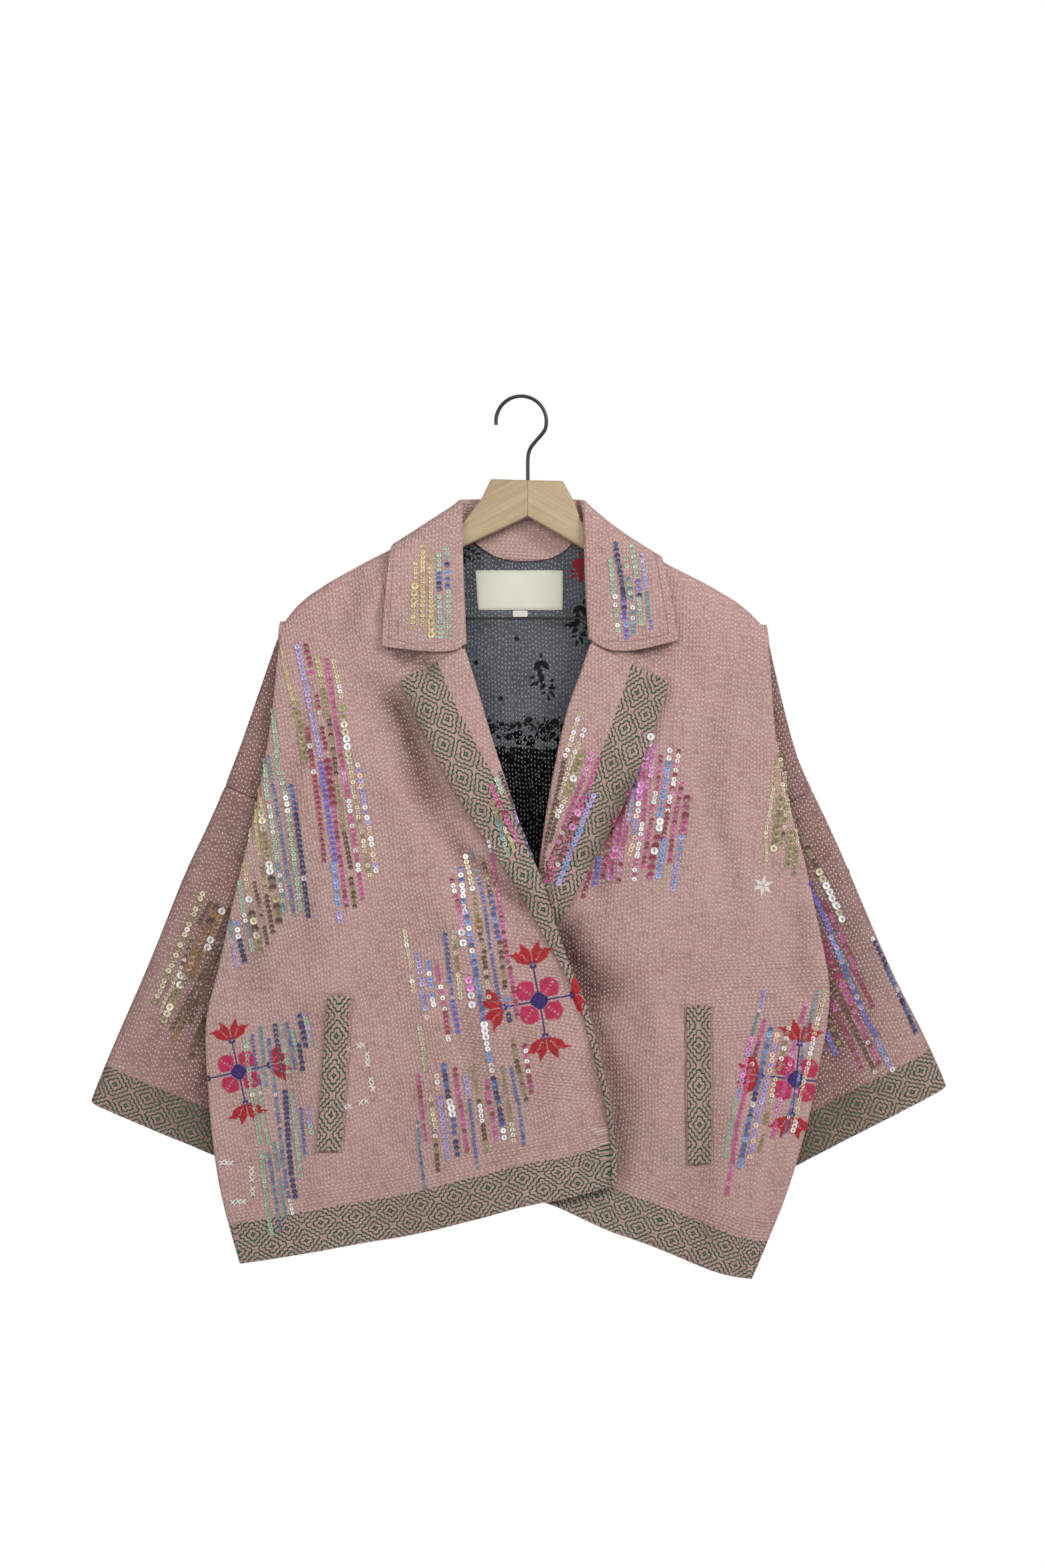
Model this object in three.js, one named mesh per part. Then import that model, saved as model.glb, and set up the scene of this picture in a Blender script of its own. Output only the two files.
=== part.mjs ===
// A quilted blanket coat on a wooden hanger, hung flat from the hanger's hook.
// Millimetres. X runs to the viewer's right, +Z is up, the coat's front faces -Y.
// The origin is the inside top of the hook, where a rail or a peg carries it.
// The hanger lies in the plane y = 0. "Right" and "left" are the wearer's.
import * as THREE from 'three';
import { mergeVertices } from 'three/addons/utils/BufferGeometryUtils.js';

// Driving dimensions
const CLOTH = 2.4;            // quilted cloth, two faces and a filling
const FACING_CLOTH = 2.0;     // cloth of the turned-out front edges
const SEAM_GAP = 0.3;         // space between two sewn pieces
const WELT_CLOTH = 1.8;       // folded pocket welts
const LABEL_CLOTH = 0.8;      // woven labels at the back of the neck
const ARM_COVER = 7.6;        // how far the cloth stands off the hanger's middle plane
const BODY_DEPTH = 13;        // front and back each hang this far from the middle plane
const ROLL_DEPTH = 8;         // height over which the cloth bends across the shoulder
const TURN = 2.5;             // middle radius of the folds at the body's edges
const WRAP = 2.6;             // middle radius of the facing round the front edge
const COLLAR_WRAP = 2.7;      // middle radius of the collar round the neck edge
const SLEEVE_HALF = 3.5;      // half depth of a sleeve between the body's folds
const FACING_STRIP = 16;      // facing behind the front edge
const WOOD = 12;              // hanger's thickness
const HOOK_WIRE = 3.4;        // hook's wire
const BAR_WIRE = 2.6;         // trouser bar's wire

const PINK = 0xb9848a;
const INSIDE = 0x3c3f4a;
const GREEN = 0x3f5f52;
const CREAM = 0xe9e2d2;
const PALE_WOOD = 0xd9c3a0;
const BLACK = 0x1b1b1d;

// A table: column names once, then one row for each section or station
function table(columns, ...rows) {
  return rows.map((row) => Object.fromEntries(columns.map((name, i) => [name, row[i]])));
}

// Shoulder seams seen from the front, from the neck point out to the hanger's tip
const SHOULDER_RIGHT = table(['x', 'z'],
  [-64, -113], [-95, -128.8], [-127.1, -145.1], [-155, -159.5], [-181.7, -174.8], [-208.9, -194.7], [-223.2, -214.5]);
const SHOULDER_LEFT = table(['x', 'z'],
  [68, -114.2], [100, -133.9], [133.3, -154.4], [165.5, -170.5], [192.2, -185.4], [213.9, -201.5], [227.5, -217]);

// The body's folded side edges, and how deep the cloth turns in behind each to the side seam
const SIDE_RIGHT = table(['z', 'edge', 'inset'],
  [-214.5, -223.2, 1], [-240, -224.8, 14], [-290, -229.5, 34], [-350, -238.8, 56], [-400, -249.6, 72],
  [-450, -262, 84], [-500, -274, 94], [-532, -279.5, 100], [-577, -293.3, 112], [-620, -291.4, 106],
  [-670, -288.2, 96], [-735, -279.3, 76], [-803, -261, 40]);
const SIDE_LEFT = table(['z', 'edge', 'inset'],
  [-217, 227.5, 1], [-240, 229.6, 14], [-290, 232.8, 34], [-350, 239.6, 54], [-400, 253.8, 71],
  [-450, 267, 84], [-500, 276.6, 96], [-530, 284, 102], [-563, 287.7, 108], [-604, 279, 93],
  [-651, 270.9, 82], [-735, 247.5, 46], [-817, 214, 25]);

// Hems, from the front edge to the side
const HEM_RIGHT = table(['x', 'z'],
  [84.5, -729.4], [60, -738.4], [11.2, -747.1], [-44, -761], [-100.4, -776.5], [-173.6, -788], [-215.8, -796.1], [-261, -803]);
const HEM_LEFT = table(['x', 'z'],
  [-68.3, -742], [-20, -742], [19.2, -745.9], [77.5, -772.5], [122.1, -787.4], [167.4, -805.4], [194.1, -815.3], [214, -817]);
const HEM_BACK = table(['x', 'z'],
  [-261, -803], [-173.6, -786], [-100.4, -772], [-44, -756], [4, -743], [50, -752], [122.1, -781], [167.4, -800], [214, -817]);

// Neck edges under the collar, from the neck point to the gorge, and across the back
const NECK_RIGHT = table(['x', 'z'], [-64, -113], [-60, -150], [-58.5, -190], [-57.5, -226], [-54.5, -242]);
const NECK_LEFT = table(['x', 'z'], [68, -114.2], [65.5, -150], [65.2, -188], [68, -222], [65.6, -238]);
const NECK_BACK = table(['x', 'z'],
  [-64, -113], [-55, -126], [-40, -139], [-20, -147], [4, -149], [28, -147], [46, -139], [59, -126], [68, -114.2]);

// Turned-out front edges: the roll line, the outer edge of what is turned out, and how far that edge lifts
const LAPEL_RIGHT = table(['rollX', 'rollZ', 'edgeX', 'edgeZ', 'lift'],
  [-51.5, -233.5, -112.2, -263.5, 5], [-38.4, -276.5, -92.4, -308.8, 5], [-23.6, -326.7, -71.9, -347.2, 4],
  [-10.5, -365.2, -53.5, -380.5, 3.5], [2.5, -406.7, -34.7, -408.6, 3], [20.5, -449.5, -5.6, -454.5, 2],
  [35.3, -498.8, 21.7, -501, 1], [48, -532, 39.5, -533.5, 0.4], [62, -566, 55, -567.5, 0], [75, -618.1, 68.5, -619.3, 0],
  [83.7, -658.4, 77.5, -659, 0], [88.7, -696.3, 82.7, -696.3, 0], [88.7, -728.6, 82.7, -729.4, 0]);
const LAPEL_LEFT = table(['rollX', 'rollZ', 'edgeX', 'edgeZ', 'lift'],
  [63.2, -229, 137, -266, 5], [53.3, -259, 129, -290.2, 5], [41, -293, 115, -330, 4.5],
  [29.8, -346, 96.5, -376, 4], [21.7, -391.2, 77.5, -411, 3], [14.3, -447.6, 55, -453, 1.5],
  [10, -482, 38, -485, 0.6], [9, -508, 24, -510, 0.2], [8, -532, 15.5, -533, 0], [-5, -572, 1.5, -574, 0],
  [-30, -632, -23.5, -634, 0], [-56, -695, -49.6, -697, 0], [-72.5, -741.5, -66.4, -743, 0]);

// Sleeves, a row for each section across: outer fold, inner edge, half depth where the sleeve swells
const SLEEVE_RIGHT = table(['outX', 'outZ', 'inX', 'swell'],
  [-226.6, -223, -209, 0], [-237, -253, -199, 0.5], [-249.2, -288.9, -192, 1.5], [-265.4, -334.8, -182, 3], [-275.9, -361, -179, 4],
  [-292, -398.7, -177, 5], [-309.5, -434, -176, 5.5], [-327, -477, -186, 6], [-342.2, -515.8, -194, 6.5],
  [-364, -566, -203, 7], [-385, -614.4, -212, 7.5], [-400.8, -654.1, -217.7, 8]);
const SLEEVE_LEFT = table(['outX', 'outZ', 'inX', 'swell'],
  [230, -225, 213, 0], [238, -262, 201, 0.5], [247.4, -299.5, 193, 1.5], [256.7, -334.8, 184, 3], [271, -365.5, 181, 4],
  [286, -397, 179, 5], [300, -428, 178, 5.5], [313, -459, 181, 6], [333, -506, 189, 6.5],
  [354, -552, 200, 7], [376.3, -594, 210, 7.5], [395.9, -639.8, 219.8, 8]);
const CUFF_SLOPE_RIGHT = 0.439;
const CUFF_SLOPE_LEFT = 0.532;
const SEAM_ROW = 4;           // the row of each sleeve table where the cross seam lies
const UNDERARM_ROW = 7;       // the row from which the sleeve is closed underneath

// Collar, a row for each station from the right gorge round the back of the neck to the left one.
// Foot of the stand, top of the roll, middle and edge of the leaf. Rise is the stand's angle from
// the X axis as seen from the front, side is the compass angle of the leaf's side (-90 is the front).
const COLLAR = table(
  ['footX', 'footY', 'footZ', 'rollX', 'rollY', 'rollZ', 'leafX', 'leafY', 'leafZ', 'edgeX', 'edgeY', 'edgeZ', 'rise', 'side'],
  [-63, -10.3, -229, -51, -13, -230.5, -72, -17.5, -238, -128.3, -20, -232.5, 0, -90],
  [-65, -10.3, -190, -53, -13, -188, -88, -18.2, -194, -126.5, -20.5, -196, 5, -90],
  [-65, -9.9, -154, -54.5, -12.9, -148, -86, -17.4, -160, -123.4, -19.5, -166, 25, -95],
  [-62.9, -7.6, -134, -55, -11.3, -125, -86, -16, -140, -121.8, -18, -152, 45, -115],
  [-60.3, -7.9, -117, -56.2, -7.6, -104, -86, -11.5, -122, -120.5, -12.5, -143, 72, -150],
  [-60, 0, -112.5, -56.5, 0, -96, -86, 0, -115.5, -118.5, 0, -136.3, 84, -180],
  [-57.2, 7.5, -116, -54, 6, -94.6, -84, 11.5, -120, -112, 13.5, -145, 88, -205],
  [-48.5, 9, -129.5, -47, 12, -93.8, -72, 16.5, -130, -96, 21, -162, 90, -235],
  [-24, 10.2, -147.5, -26, 13, -93, -34, 17.4, -134, -46, 21, -172, 90, -255],
  [4, 10.2, -151, 4, 13.1, -93, 4, 17.6, -134, 4, 20, -174, 90, -270],
  [32, 10.2, -147.5, 33, 13, -93, 40, 17.4, -134, 52, 21, -172, 90, -285],
  [53, 9, -129.5, 53, 12, -94, 78, 16.5, -133, 104, 21, -167, 90, -305],
  [61, 7.5, -116, 56.5, 6, -95.2, 90, 11.5, -126.5, 122, 13.5, -154, 92, -335],
  [64, 0, -113, 58.5, 0, -97, 93, 0, -125, 129, 0, -147.2, 96, -360],
  [64.3, -7.9, -117.5, 58.8, -7.6, -105, 93, -11.5, -129.5, 131, -12.5, -154.5, 108, -390],
  [67, -7.9, -134, 58.8, -11.3, -127, 94, -16, -146, 133, -18, -164, 135, -425],
  [70, -9.9, -154, 59, -12.9, -150, 95, -17.4, -166, 135.5, -19.5, -177, 155, -445],
  [72, -10.3, -188, 60.3, -13, -187, 98, -18.2, -195, 140.5, -20.5, -201, 175, -450],
  [75, -10.3, -225.5, 62.7, -13, -226, 91, -17.7, -237.6, 144.5, -20, -226.9, 180, -450]);

// The largest hanging folds of the fronts and the back: a line down the panel, positive depth stands proud
const FOLDS_RIGHT = table(['topX', 'topZ', 'endX', 'endZ', 'width', 'depth'],
  [-112, -300, 14, -505, 22, -4], [-170, -330, -195, -790, 30, 4], [-60, -470, -35, -770, 34, 3.5],
  [-125, -560, -118, -785, 22, -3.5], [-232, -420, -240, -800, 20, -3]);
const FOLDS_LEFT = table(['topX', 'topZ', 'endX', 'endZ', 'width', 'depth'],
  [72, -505, 118, -735, 22, -5], [118, -400, 150, -800, 26, 4], [192, -330, 205, -815, 28, 4],
  [138, -470, 142, -800, 22, -2.5], [232, -400, 236, -760, 18, -2.5]);
const FOLDS_BACK = table(['topX', 'topZ', 'endX', 'endZ', 'width', 'depth'],
  [-150, -240, -190, -795, 30, 5], [-70, -260, -85, -775, 26, -4], [0, -230, 8, -745, 34, 5],
  [85, -260, 100, -775, 26, -4], [150, -240, 185, -805, 30, 5]);

// Pocket welts: upper and lower ends of the two long sides
const WELT_RIGHT = table(['z', 'outX', 'inX'], [-554.4, -178.2, -157.2], [-626, -183.4, -161.7], [-697.6, -188.6, -166.2]);
const WELT_LEFT = table(['z', 'outX', 'inX'], [-563.8, 174.3, 152.5], [-637, 175, 153.2], [-709.7, 175.7, 153.8]);

// Smooth curve through the rows of a table, at a fraction of its length
function curveThrough(rows, xColumn, zColumn) {
  const points = rows.map((row) => new THREE.Vector3(row[xColumn], 0, row[zColumn]));
  return new THREE.CatmullRomCurve3(points, false, 'centripetal');
}

// Value of one column where another column has the given value, smooth between rows
function lookUp(rows, keyColumn, key, valueColumn) {
  const ordered = rows[0][keyColumn] < rows[rows.length - 1][keyColumn] ? rows : [...rows].reverse();
  if (key <= ordered[0][keyColumn]) return ordered[0][valueColumn];
  const last = ordered.length - 1;
  if (key >= ordered[last][keyColumn]) return ordered[last][valueColumn];
  let i = 0;
  while (ordered[i + 1][keyColumn] < key) i += 1;
  const span = ordered[i + 1][keyColumn] - ordered[i][keyColumn];
  const t = (key - ordered[i][keyColumn]) / span;
  const at = (k) => ordered[Math.min(Math.max(k, 0), last)][valueColumn];
  const slope = (k) => (k <= 0 || k >= last
    ? at(Math.min(k + 1, last)) - at(Math.max(k - 1, 0))
    : (at(k + 1) - at(k - 1)) * span / (ordered[k + 1][keyColumn] - ordered[k - 1][keyColumn]));
  const t2 = t * t;
  const t3 = t2 * t;
  return (2 * t3 - 3 * t2 + 1) * at(i) + (t3 - 2 * t2 + t) * slope(i)
    + (3 * t2 - 2 * t3) * at(i + 1) + (t3 - t2) * slope(i + 1);
}

function smooth(from, to, value) {
  const t = Math.min(Math.max((value - from) / (to - from), 0), 1);
  return t * t * (3 - 2 * t);
}

function mix(a, b, t) {
  return a + (b - a) * t;
}

// Four-sided patch of (x, z) points between a top, a bottom and two side curves
function patch(top, bottom, inner, outer, u, v) {
  const t = top.getPointAt(u);
  const b = bottom.getPointAt(u);
  const l = inner.getPointAt(v);
  const r = outer.getPointAt(v);
  const corner = [top.getPointAt(0), top.getPointAt(1), bottom.getPointAt(0), bottom.getPointAt(1)];
  const at = (axis) => mix(t[axis], b[axis], v) + mix(l[axis], r[axis], u)
    - mix(mix(corner[0][axis], corner[1][axis], u), mix(corner[2][axis], corner[3][axis], u), v);
  return [at('x'), at('z')];
}

// Height of the shoulder's middle surface over a place, rising on past the neck points
function shoulderHeight(x) {
  const half = CLOTH / 2;
  if (x < -64) return lookUp(SHOULDER_RIGHT, 'x', x, 'z') - half;
  if (x > 68) return lookUp(SHOULDER_LEFT, 'x', x, 'z') - half;
  const side = x < 2 ? (x + 64) : (68 - x);
  return -113.6 - half + 0.6 * Math.max(side, 0);
}

function foldHeight(folds, x, z) {
  let sum = 0;
  for (const fold of folds) {
    const along = Math.min(Math.max((fold.topZ - z) / (fold.topZ - fold.endZ), 0), 1);
    const off = (x - mix(fold.topX, fold.endX, along)) / (fold.width * mix(0.7, 1.25, along));
    const fade = smooth(-0.12, 0.3, (fold.topZ - z) / (fold.topZ - fold.endZ));
    sum += fold.depth * fade * Math.exp(-off * off);
  }
  return sum;
}

// Distance of a panel's middle surface from the hanger's plane, at a place seen from the front
function panelDepth(x, z) {
  const under = shoulderHeight(x) - z;
  const bend = 1 - Math.min(Math.max(under, 0), ROLL_DEPTH) / ROLL_DEPTH;
  const rolled = CLOTH / 2 + SEAM_GAP / 2 + ARM_COVER * Math.sqrt(1 - bend * bend);
  const atTip = 1.2 * Math.max(smooth(-209, -221, x), smooth(213, 225, x));
  return rolled + atTip + (BODY_DEPTH - ARM_COVER - CLOTH / 2 - SEAM_GAP / 2 - atTip) * smooth(6, 34, under);
}

function edgeFade(x, z) {
  const fromRight = x - lookUp(SIDE_RIGHT, 'z', z, 'edge');
  const fromLeft = lookUp(SIDE_LEFT, 'z', z, 'edge') - x;
  return smooth(4, 40, Math.min(fromRight, fromLeft));
}

// The over front comes forward where it laps the under front, which falls back
function rightFrontY(x, z) {
  const lap = 5.5 * smooth(-360, -500, z) * smooth(-130, -10, x);
  return -(panelDepth(x, z) + lap + foldHeight(FOLDS_RIGHT, x, z) * edgeFade(x, z));
}

function leftFrontY(x, z) {
  const lap = 7.5 * smooth(-330, -470, z) * smooth(120, 40, x);
  return -(panelDepth(x, z) - lap + foldHeight(FOLDS_LEFT, x, z) * edgeFade(x, z));
}

function backY(x, z) {
  return panelDepth(x, z) + foldHeight(FOLDS_BACK, x, z) * edgeFade(x, z);
}

// Closed wall of even thickness on a grid of middle points
function wall(grid, thickness) {
  const rows = grid.length;
  const columns = grid[0].length;
  const at = (i, j) => grid[Math.min(Math.max(i, 0), rows - 1)][Math.min(Math.max(j, 0), columns - 1)];
  const positions = [];
  for (const side of [0.5, -0.5]) {
    for (let i = 0; i < rows; i += 1) {
      for (let j = 0; j < columns; j += 1) {
        const along = new THREE.Vector3().subVectors(at(i + 1, j), at(i - 1, j));
        const across = new THREE.Vector3().subVectors(at(i, j + 1), at(i, j - 1));
        const normal = along.cross(across).normalize();
        positions.push(...normal.multiplyScalar(thickness * side).add(at(i, j)).toArray());
      }
    }
  }
  const count = rows * columns;
  const id = (face, i, j) => face * count + i * columns + j;
  const index = [];
  const quad = (a, b, c, d) => index.push(a, b, c, a, c, d);
  for (let i = 0; i < rows - 1; i += 1) {
    for (let j = 0; j < columns - 1; j += 1) {
      quad(id(0, i, j), id(0, i + 1, j), id(0, i + 1, j + 1), id(0, i, j + 1));
      quad(id(1, i, j), id(1, i, j + 1), id(1, i + 1, j + 1), id(1, i + 1, j));
    }
    quad(id(0, i, 0), id(1, i, 0), id(1, i + 1, 0), id(0, i + 1, 0));
    quad(id(0, i, columns - 1), id(0, i + 1, columns - 1), id(1, i + 1, columns - 1), id(1, i, columns - 1));
  }
  for (let j = 0; j < columns - 1; j += 1) {
    quad(id(0, 0, j), id(0, 0, j + 1), id(1, 0, j + 1), id(1, 0, j));
    quad(id(0, rows - 1, j), id(1, rows - 1, j), id(1, rows - 1, j + 1), id(0, rows - 1, j + 1));
  }
  const geometry = new THREE.BufferGeometry();
  geometry.setAttribute('position', new THREE.Float32BufferAttribute(positions, 3));
  geometry.setIndex(index);
  return facingOut(geometry);
}

// Turns every face of a closed geometry outwards
function facingOut(geometry) {
  const p = geometry.getAttribute('position');
  const index = geometry.getIndex();
  const [a, b, c] = [new THREE.Vector3(), new THREE.Vector3(), new THREE.Vector3()];
  let volume = 0;
  for (let i = 0; i < index.count; i += 3) {
    a.fromBufferAttribute(p, index.getX(i));
    b.fromBufferAttribute(p, index.getX(i + 1));
    c.fromBufferAttribute(p, index.getX(i + 2));
    volume += a.dot(b.cross(c));
  }
  if (volume < 0) {
    for (let i = 0; i < index.count; i += 3) {
      const swap = index.getX(i + 1);
      index.setX(i + 1, index.getX(i + 2));
      index.setX(i + 2, swap);
    }
  }
  geometry.computeVertexNormals();
  return geometry;
}

// Rows of a panel: a few close to the shoulder where the cloth bends, then even steps to the hem
function rowFractions(length, rows) {
  const bend = [0, 1.2, 3.6, 8, 18, 36];
  const fractions = bend.map((mm) => mm / length);
  for (let i = 1; i <= rows; i += 1) fractions.push(mix(bend[bend.length - 1] / length, 1, i / rows));
  return fractions;
}

// The folded edge: an arc whose turn grows down from the shoulder, then the cloth behind it.
// Gives offsets outwards from the arc's start and backwards from the panel.
function foldPath(turned, radius, length, endBack, steps, lay) {
  const angle = Math.PI * turned;
  const arc = radius * Math.PI * mix(0.45, 1, turned);
  const r = arc / Math.max(angle, 0.05);
  const path = [];
  for (let k = 1; k <= steps; k += 1) {
    const a = angle * k / steps;
    path.push([r * Math.sin(a), r * (1 - Math.cos(a))]);
  }
  const [endOut, endIn] = path[path.length - 1];
  for (const part of lay) {
    const s = part.all ? length * part.all : length - Math.min(part.left, length * part.share);
    const out = endOut + Math.cos(angle) * s;
    const straight = endIn + Math.sin(angle) * s;
    const slide = turned > 0.98 ? (endBack - endIn) * part.slide : 0;
    path.push([out, straight + slide]);
  }
  return path;
}

// Height of a row of panel points where it passes a place
function heightInRow(row, x) {
  const ordered = row[0][0] < row[row.length - 1][0] ? row : [...row].reverse();
  let i = 0;
  while (i < ordered.length - 2 && ordered[i + 1][0] < x) i += 1;
  return mix(ordered[i][1], ordered[i + 1][1], (x - ordered[i][0]) / (ordered[i + 1][0] - ordered[i][0]));
}

// One front or back panel with its folded sides
function panelGrid({ top, bottom, inner, outer, sides, columns, rows, length, depthAt, facing }) {
  const fractions = rowFractions(length, rows);
  return fractions.map((v) => {
    const line = [];
    const plain = [];
    for (let k = 0; k <= columns; k += 1) plain.push(patch(top, bottom, inner, outer, k / columns, v));
    const width = Math.abs(plain[columns][0] - plain[0][0]);
    const parts = [];
    sides.forEach((side, n) => {
      const edge = plain[side.end === 'outer' ? columns : 0];
      const z = edge[1];
      const sign = Math.sign(side.rows[0].edge);
      const below = side.rows[0].z - z;
      const turned = mix(0.05, 1, smooth(8, 34, below));
      const inset = 1.2 + lookUp(side.rows, 'z', z, 'inset') * smooth(0.94, 1, turned);
      const closed = smooth(-542, -566, z);
      const panelY = depthAt(edge[0], z);
      const endY = mix(SLEEVE_HALF + CLOTH + SEAM_GAP, (CLOTH + SEAM_GAP) / 2, closed);
      const back = Math.abs(panelY) - endY;
      const lay = [
        { all: 0.5, slide: 0.45 * (1 - closed) },
        { left: 9, share: 0.24, slide: mix(0.85, 0.3, closed) }, { left: 4.5, share: 0.12, slide: mix(0.93, 0.72, closed) },
        { all: 1, slide: 1 }];
      const path = foldPath(turned, TURN, inset, back, 3, lay);
      const reach = Math.max(...path.map((p) => p[0]));
      parts.push({ n, edge, sign, panelY, path, reach, start: reach + CLOTH / 2 });
    });
    const insetOuter = parts.find((p) => sides[p.n].end === 'outer');
    const insetInner = parts.find((p) => sides[p.n].end === 'inner');
    const cut = [insetInner ? insetInner.start : 0, insetOuter ? insetOuter.start : 0];
    const squeeze = (width - cut[0] - cut[1]) / width;
    for (let k = 0; k <= columns; k += 1) {
      const u = cut[0] / width + squeeze * k / columns;
      const [x, z] = patch(top, bottom, inner, outer, Math.min(u, 1), v);
      line.push(new THREE.Vector3(x, depthAt(x, z), z));
    }
    for (const part of parts) {
      const atEnd = sides[part.n].end === 'outer';
      const start = atEnd ? line[line.length - 1] : line[0];
      const added = part.path.map(([out, back]) => {
        const x = start.x + part.sign * out;
        const nearHem = smooth(-560, -760, start.z);
        return new THREE.Vector3(x, start.y - Math.sign(facing) * back, mix(start.z, heightInRow(plain, x), nearHem));
      });
      if (atEnd) line.push(...added);
      else line.unshift(...added.reverse());
    }
    return line;
  });
}

// Sleeve: one wall from its front inner edge round the outer fold to its back inner edge
function sleeveGrid(rows, slope, from, to, steps) {
  const last = rows.length - 1;
  const indexed = rows.map((row, i) => ({ ...row, i }));
  const sign = Math.sign(rows[0].outX);
  const grid = [];
  for (let k = 0; k <= steps; k += 1) {
    const i = mix(from, to, k / steps);
    const outX = lookUp(indexed, 'i', i, 'outX') - sign * CLOTH / 2;
    const outZ = lookUp(indexed, 'i', i, 'outZ');
    const inX = lookUp(indexed, 'i', i, 'inX');
    const swell = lookUp(indexed, 'i', i, 'swell');
    const width = Math.abs(outX - inX);
    const closed = smooth(UNDERARM_ROW - 0.3, UNDERARM_ROW + 0.5, i) * (i > UNDERARM_ROW - 0.3 ? 1 : 0);
    const inner = mix(SLEEVE_HALF, (CLOTH + SEAM_GAP) / 2, closed);
    const section = [[0, inner], [Math.min(5, width * 0.1), mix(SLEEVE_HALF, 2.9, closed)], [Math.min(11, width * 0.22), SLEEVE_HALF]];
    const high = SLEEVE_HALF + swell;
    const outside = Math.min(1, Math.max(0, 1 - swell / 9));
    for (const s of [0.42, 0.62, 0.8]) {
      section.push([s * (width - high), mix(SLEEVE_HALF, high, smooth(mix(0.42, 0.3, outside), 0.85, s))]);
    }
    for (const angle of [0, 30, 60]) {
      const a = angle * Math.PI / 180;
      section.push([width - high * (1 - Math.sin(a)), high * Math.cos(a)]);
    }
    const line = section.map(([s, y]) => [s, -y]);
    line.push([width, 0]);
    line.push(...section.reverse().map(([s, y]) => [s, y]));
    grid.push(line.map(([s, y]) => {
      const [x, z] = [inX + sign * s, outZ - slope * (width - s)];
      const fold = lookUp(sign < 0 ? SIDE_RIGHT : SIDE_LEFT, 'z', z, 'edge');
      const room = SLEEVE_HALF + swell * smooth(0, 28, sign * (x - fold));
      return new THREE.Vector3(x, Math.min(Math.max(y, -room), room), z);
    }));
  }
  return { grid, last };
}

// Facing: a strip behind the front edge, a wrap round it and what is turned out over the front
function facingGrid(rows, depthAt, steps, columns) {
  const indexed = rows.map((row, i) => ({ ...row, i }));
  const grid = [];
  for (let k = 0; k <= steps; k += 1) {
    const i = (rows.length - 1) * k / steps;
    const roll = new THREE.Vector2(lookUp(indexed, 'i', i, 'rollX'), lookUp(indexed, 'i', i, 'rollZ'));
    const edge = new THREE.Vector2(lookUp(indexed, 'i', i, 'edgeX'), lookUp(indexed, 'i', i, 'edgeZ'));
    const lift = lookUp(indexed, 'i', i, 'lift');
    const way = new THREE.Vector2().subVectors(edge, roll).normalize();
    const start = roll.clone().addScaledVector(way, WRAP + FACING_CLOTH / 2);
    const line = [];
    for (const s of [FACING_STRIP, FACING_STRIP * 0.5, 0]) {
      const p = start.clone().addScaledVector(way, s);
      line.push(new THREE.Vector3(p.x, depthAt(p.x, p.y) + WRAP + Math.min(s, 0.9), p.y));
    }
    const middle = depthAt(start.x, start.y);
    for (const degrees of [45, 90, 135]) {
      const a = degrees * Math.PI / 180;
      const p = start.clone().addScaledVector(way, -WRAP * Math.sin(a));
      line.push(new THREE.Vector3(p.x, middle + WRAP * Math.cos(a), p.y));
    }
    for (let c = 0; c <= columns; c += 1) {
      const s = c / columns;
      const p = start.clone().lerp(edge, s);
      const ease = Math.min(1, Math.max(0, start.distanceTo(p) / 14));
      line.push(new THREE.Vector3(p.x, depthAt(p.x, p.y) - WRAP - 0.9 * ease - lift * s * s, p.y));
    }
    grid.push(line);
  }
  return grid;
}

// Collar: a stand inside the neck edge, a roll, and a leaf that falls outside
function collarGrid(steps) {
  const rows = COLLAR.map((row, i) => ({ ...row, i }));
  const grid = [];
  for (let k = 0; k <= steps; k += 1) {
    const i = (rows.length - 1) * k / steps;
    const point = (name) => new THREE.Vector3(...['X', 'Y', 'Z'].map((axis) => lookUp(rows, 'i', i, name + axis)));
    const rise = lookUp(rows, 'i', i, 'rise') * Math.PI / 180;
    const side = lookUp(rows, 'i', i, 'side') * Math.PI / 180;
    const up = new THREE.Vector3(Math.cos(rise), 0, Math.sin(rise));
    const out = new THREE.Vector3(Math.cos(side), Math.sin(side), 0);
    out.addScaledVector(up, -out.dot(up)).normalize();
    const [foot, roll, leaf, edge] = ['foot', 'roll', 'leaf', 'edge'].map(point);
    const centre = roll.clone().addScaledVector(up, -COLLAR_WRAP);
    const inside = centre.clone().addScaledVector(out, -COLLAR_WRAP);
    const outside = centre.clone().addScaledVector(out, COLLAR_WRAP);
    const line = [foot, foot.clone().lerp(inside, 0.5)];
    for (const degrees of [-90, -45, 0, 45, 90]) {
      const a = degrees * Math.PI / 180;
      line.push(centre.clone().addScaledVector(up, COLLAR_WRAP * Math.cos(a)).addScaledVector(out, COLLAR_WRAP * Math.sin(a)));
    }
    const bow = new THREE.QuadraticBezierCurve3(outside, leaf.clone().multiplyScalar(2)
      .addScaledVector(outside, -0.5).addScaledVector(edge, -0.5), edge);
    for (const s of [0.25, 0.5, 0.75, 1]) line.push(bow.getPoint(s));
    grid.push(line);
  }
  return grid;
}

// A flat strip that lies on a panel, moved out from the panel's middle surface
function laidGrid(rows, depthAt, out, steps, columns) {
  const grid = [];
  for (let k = 0; k <= steps; k += 1) {
    const z = mix(rows[0].z, rows[rows.length - 1].z, k / steps);
    const line = [];
    for (let c = 0; c <= columns; c += 1) {
      const x = mix(lookUp(rows, 'z', z, 'outX'), lookUp(rows, 'z', z, 'inX'), c / columns);
      line.push(new THREE.Vector3(x, depthAt(x, z) + out, z));
    }
    grid.push(line);
  }
  return grid;
}

const coat = new THREE.Group();

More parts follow.
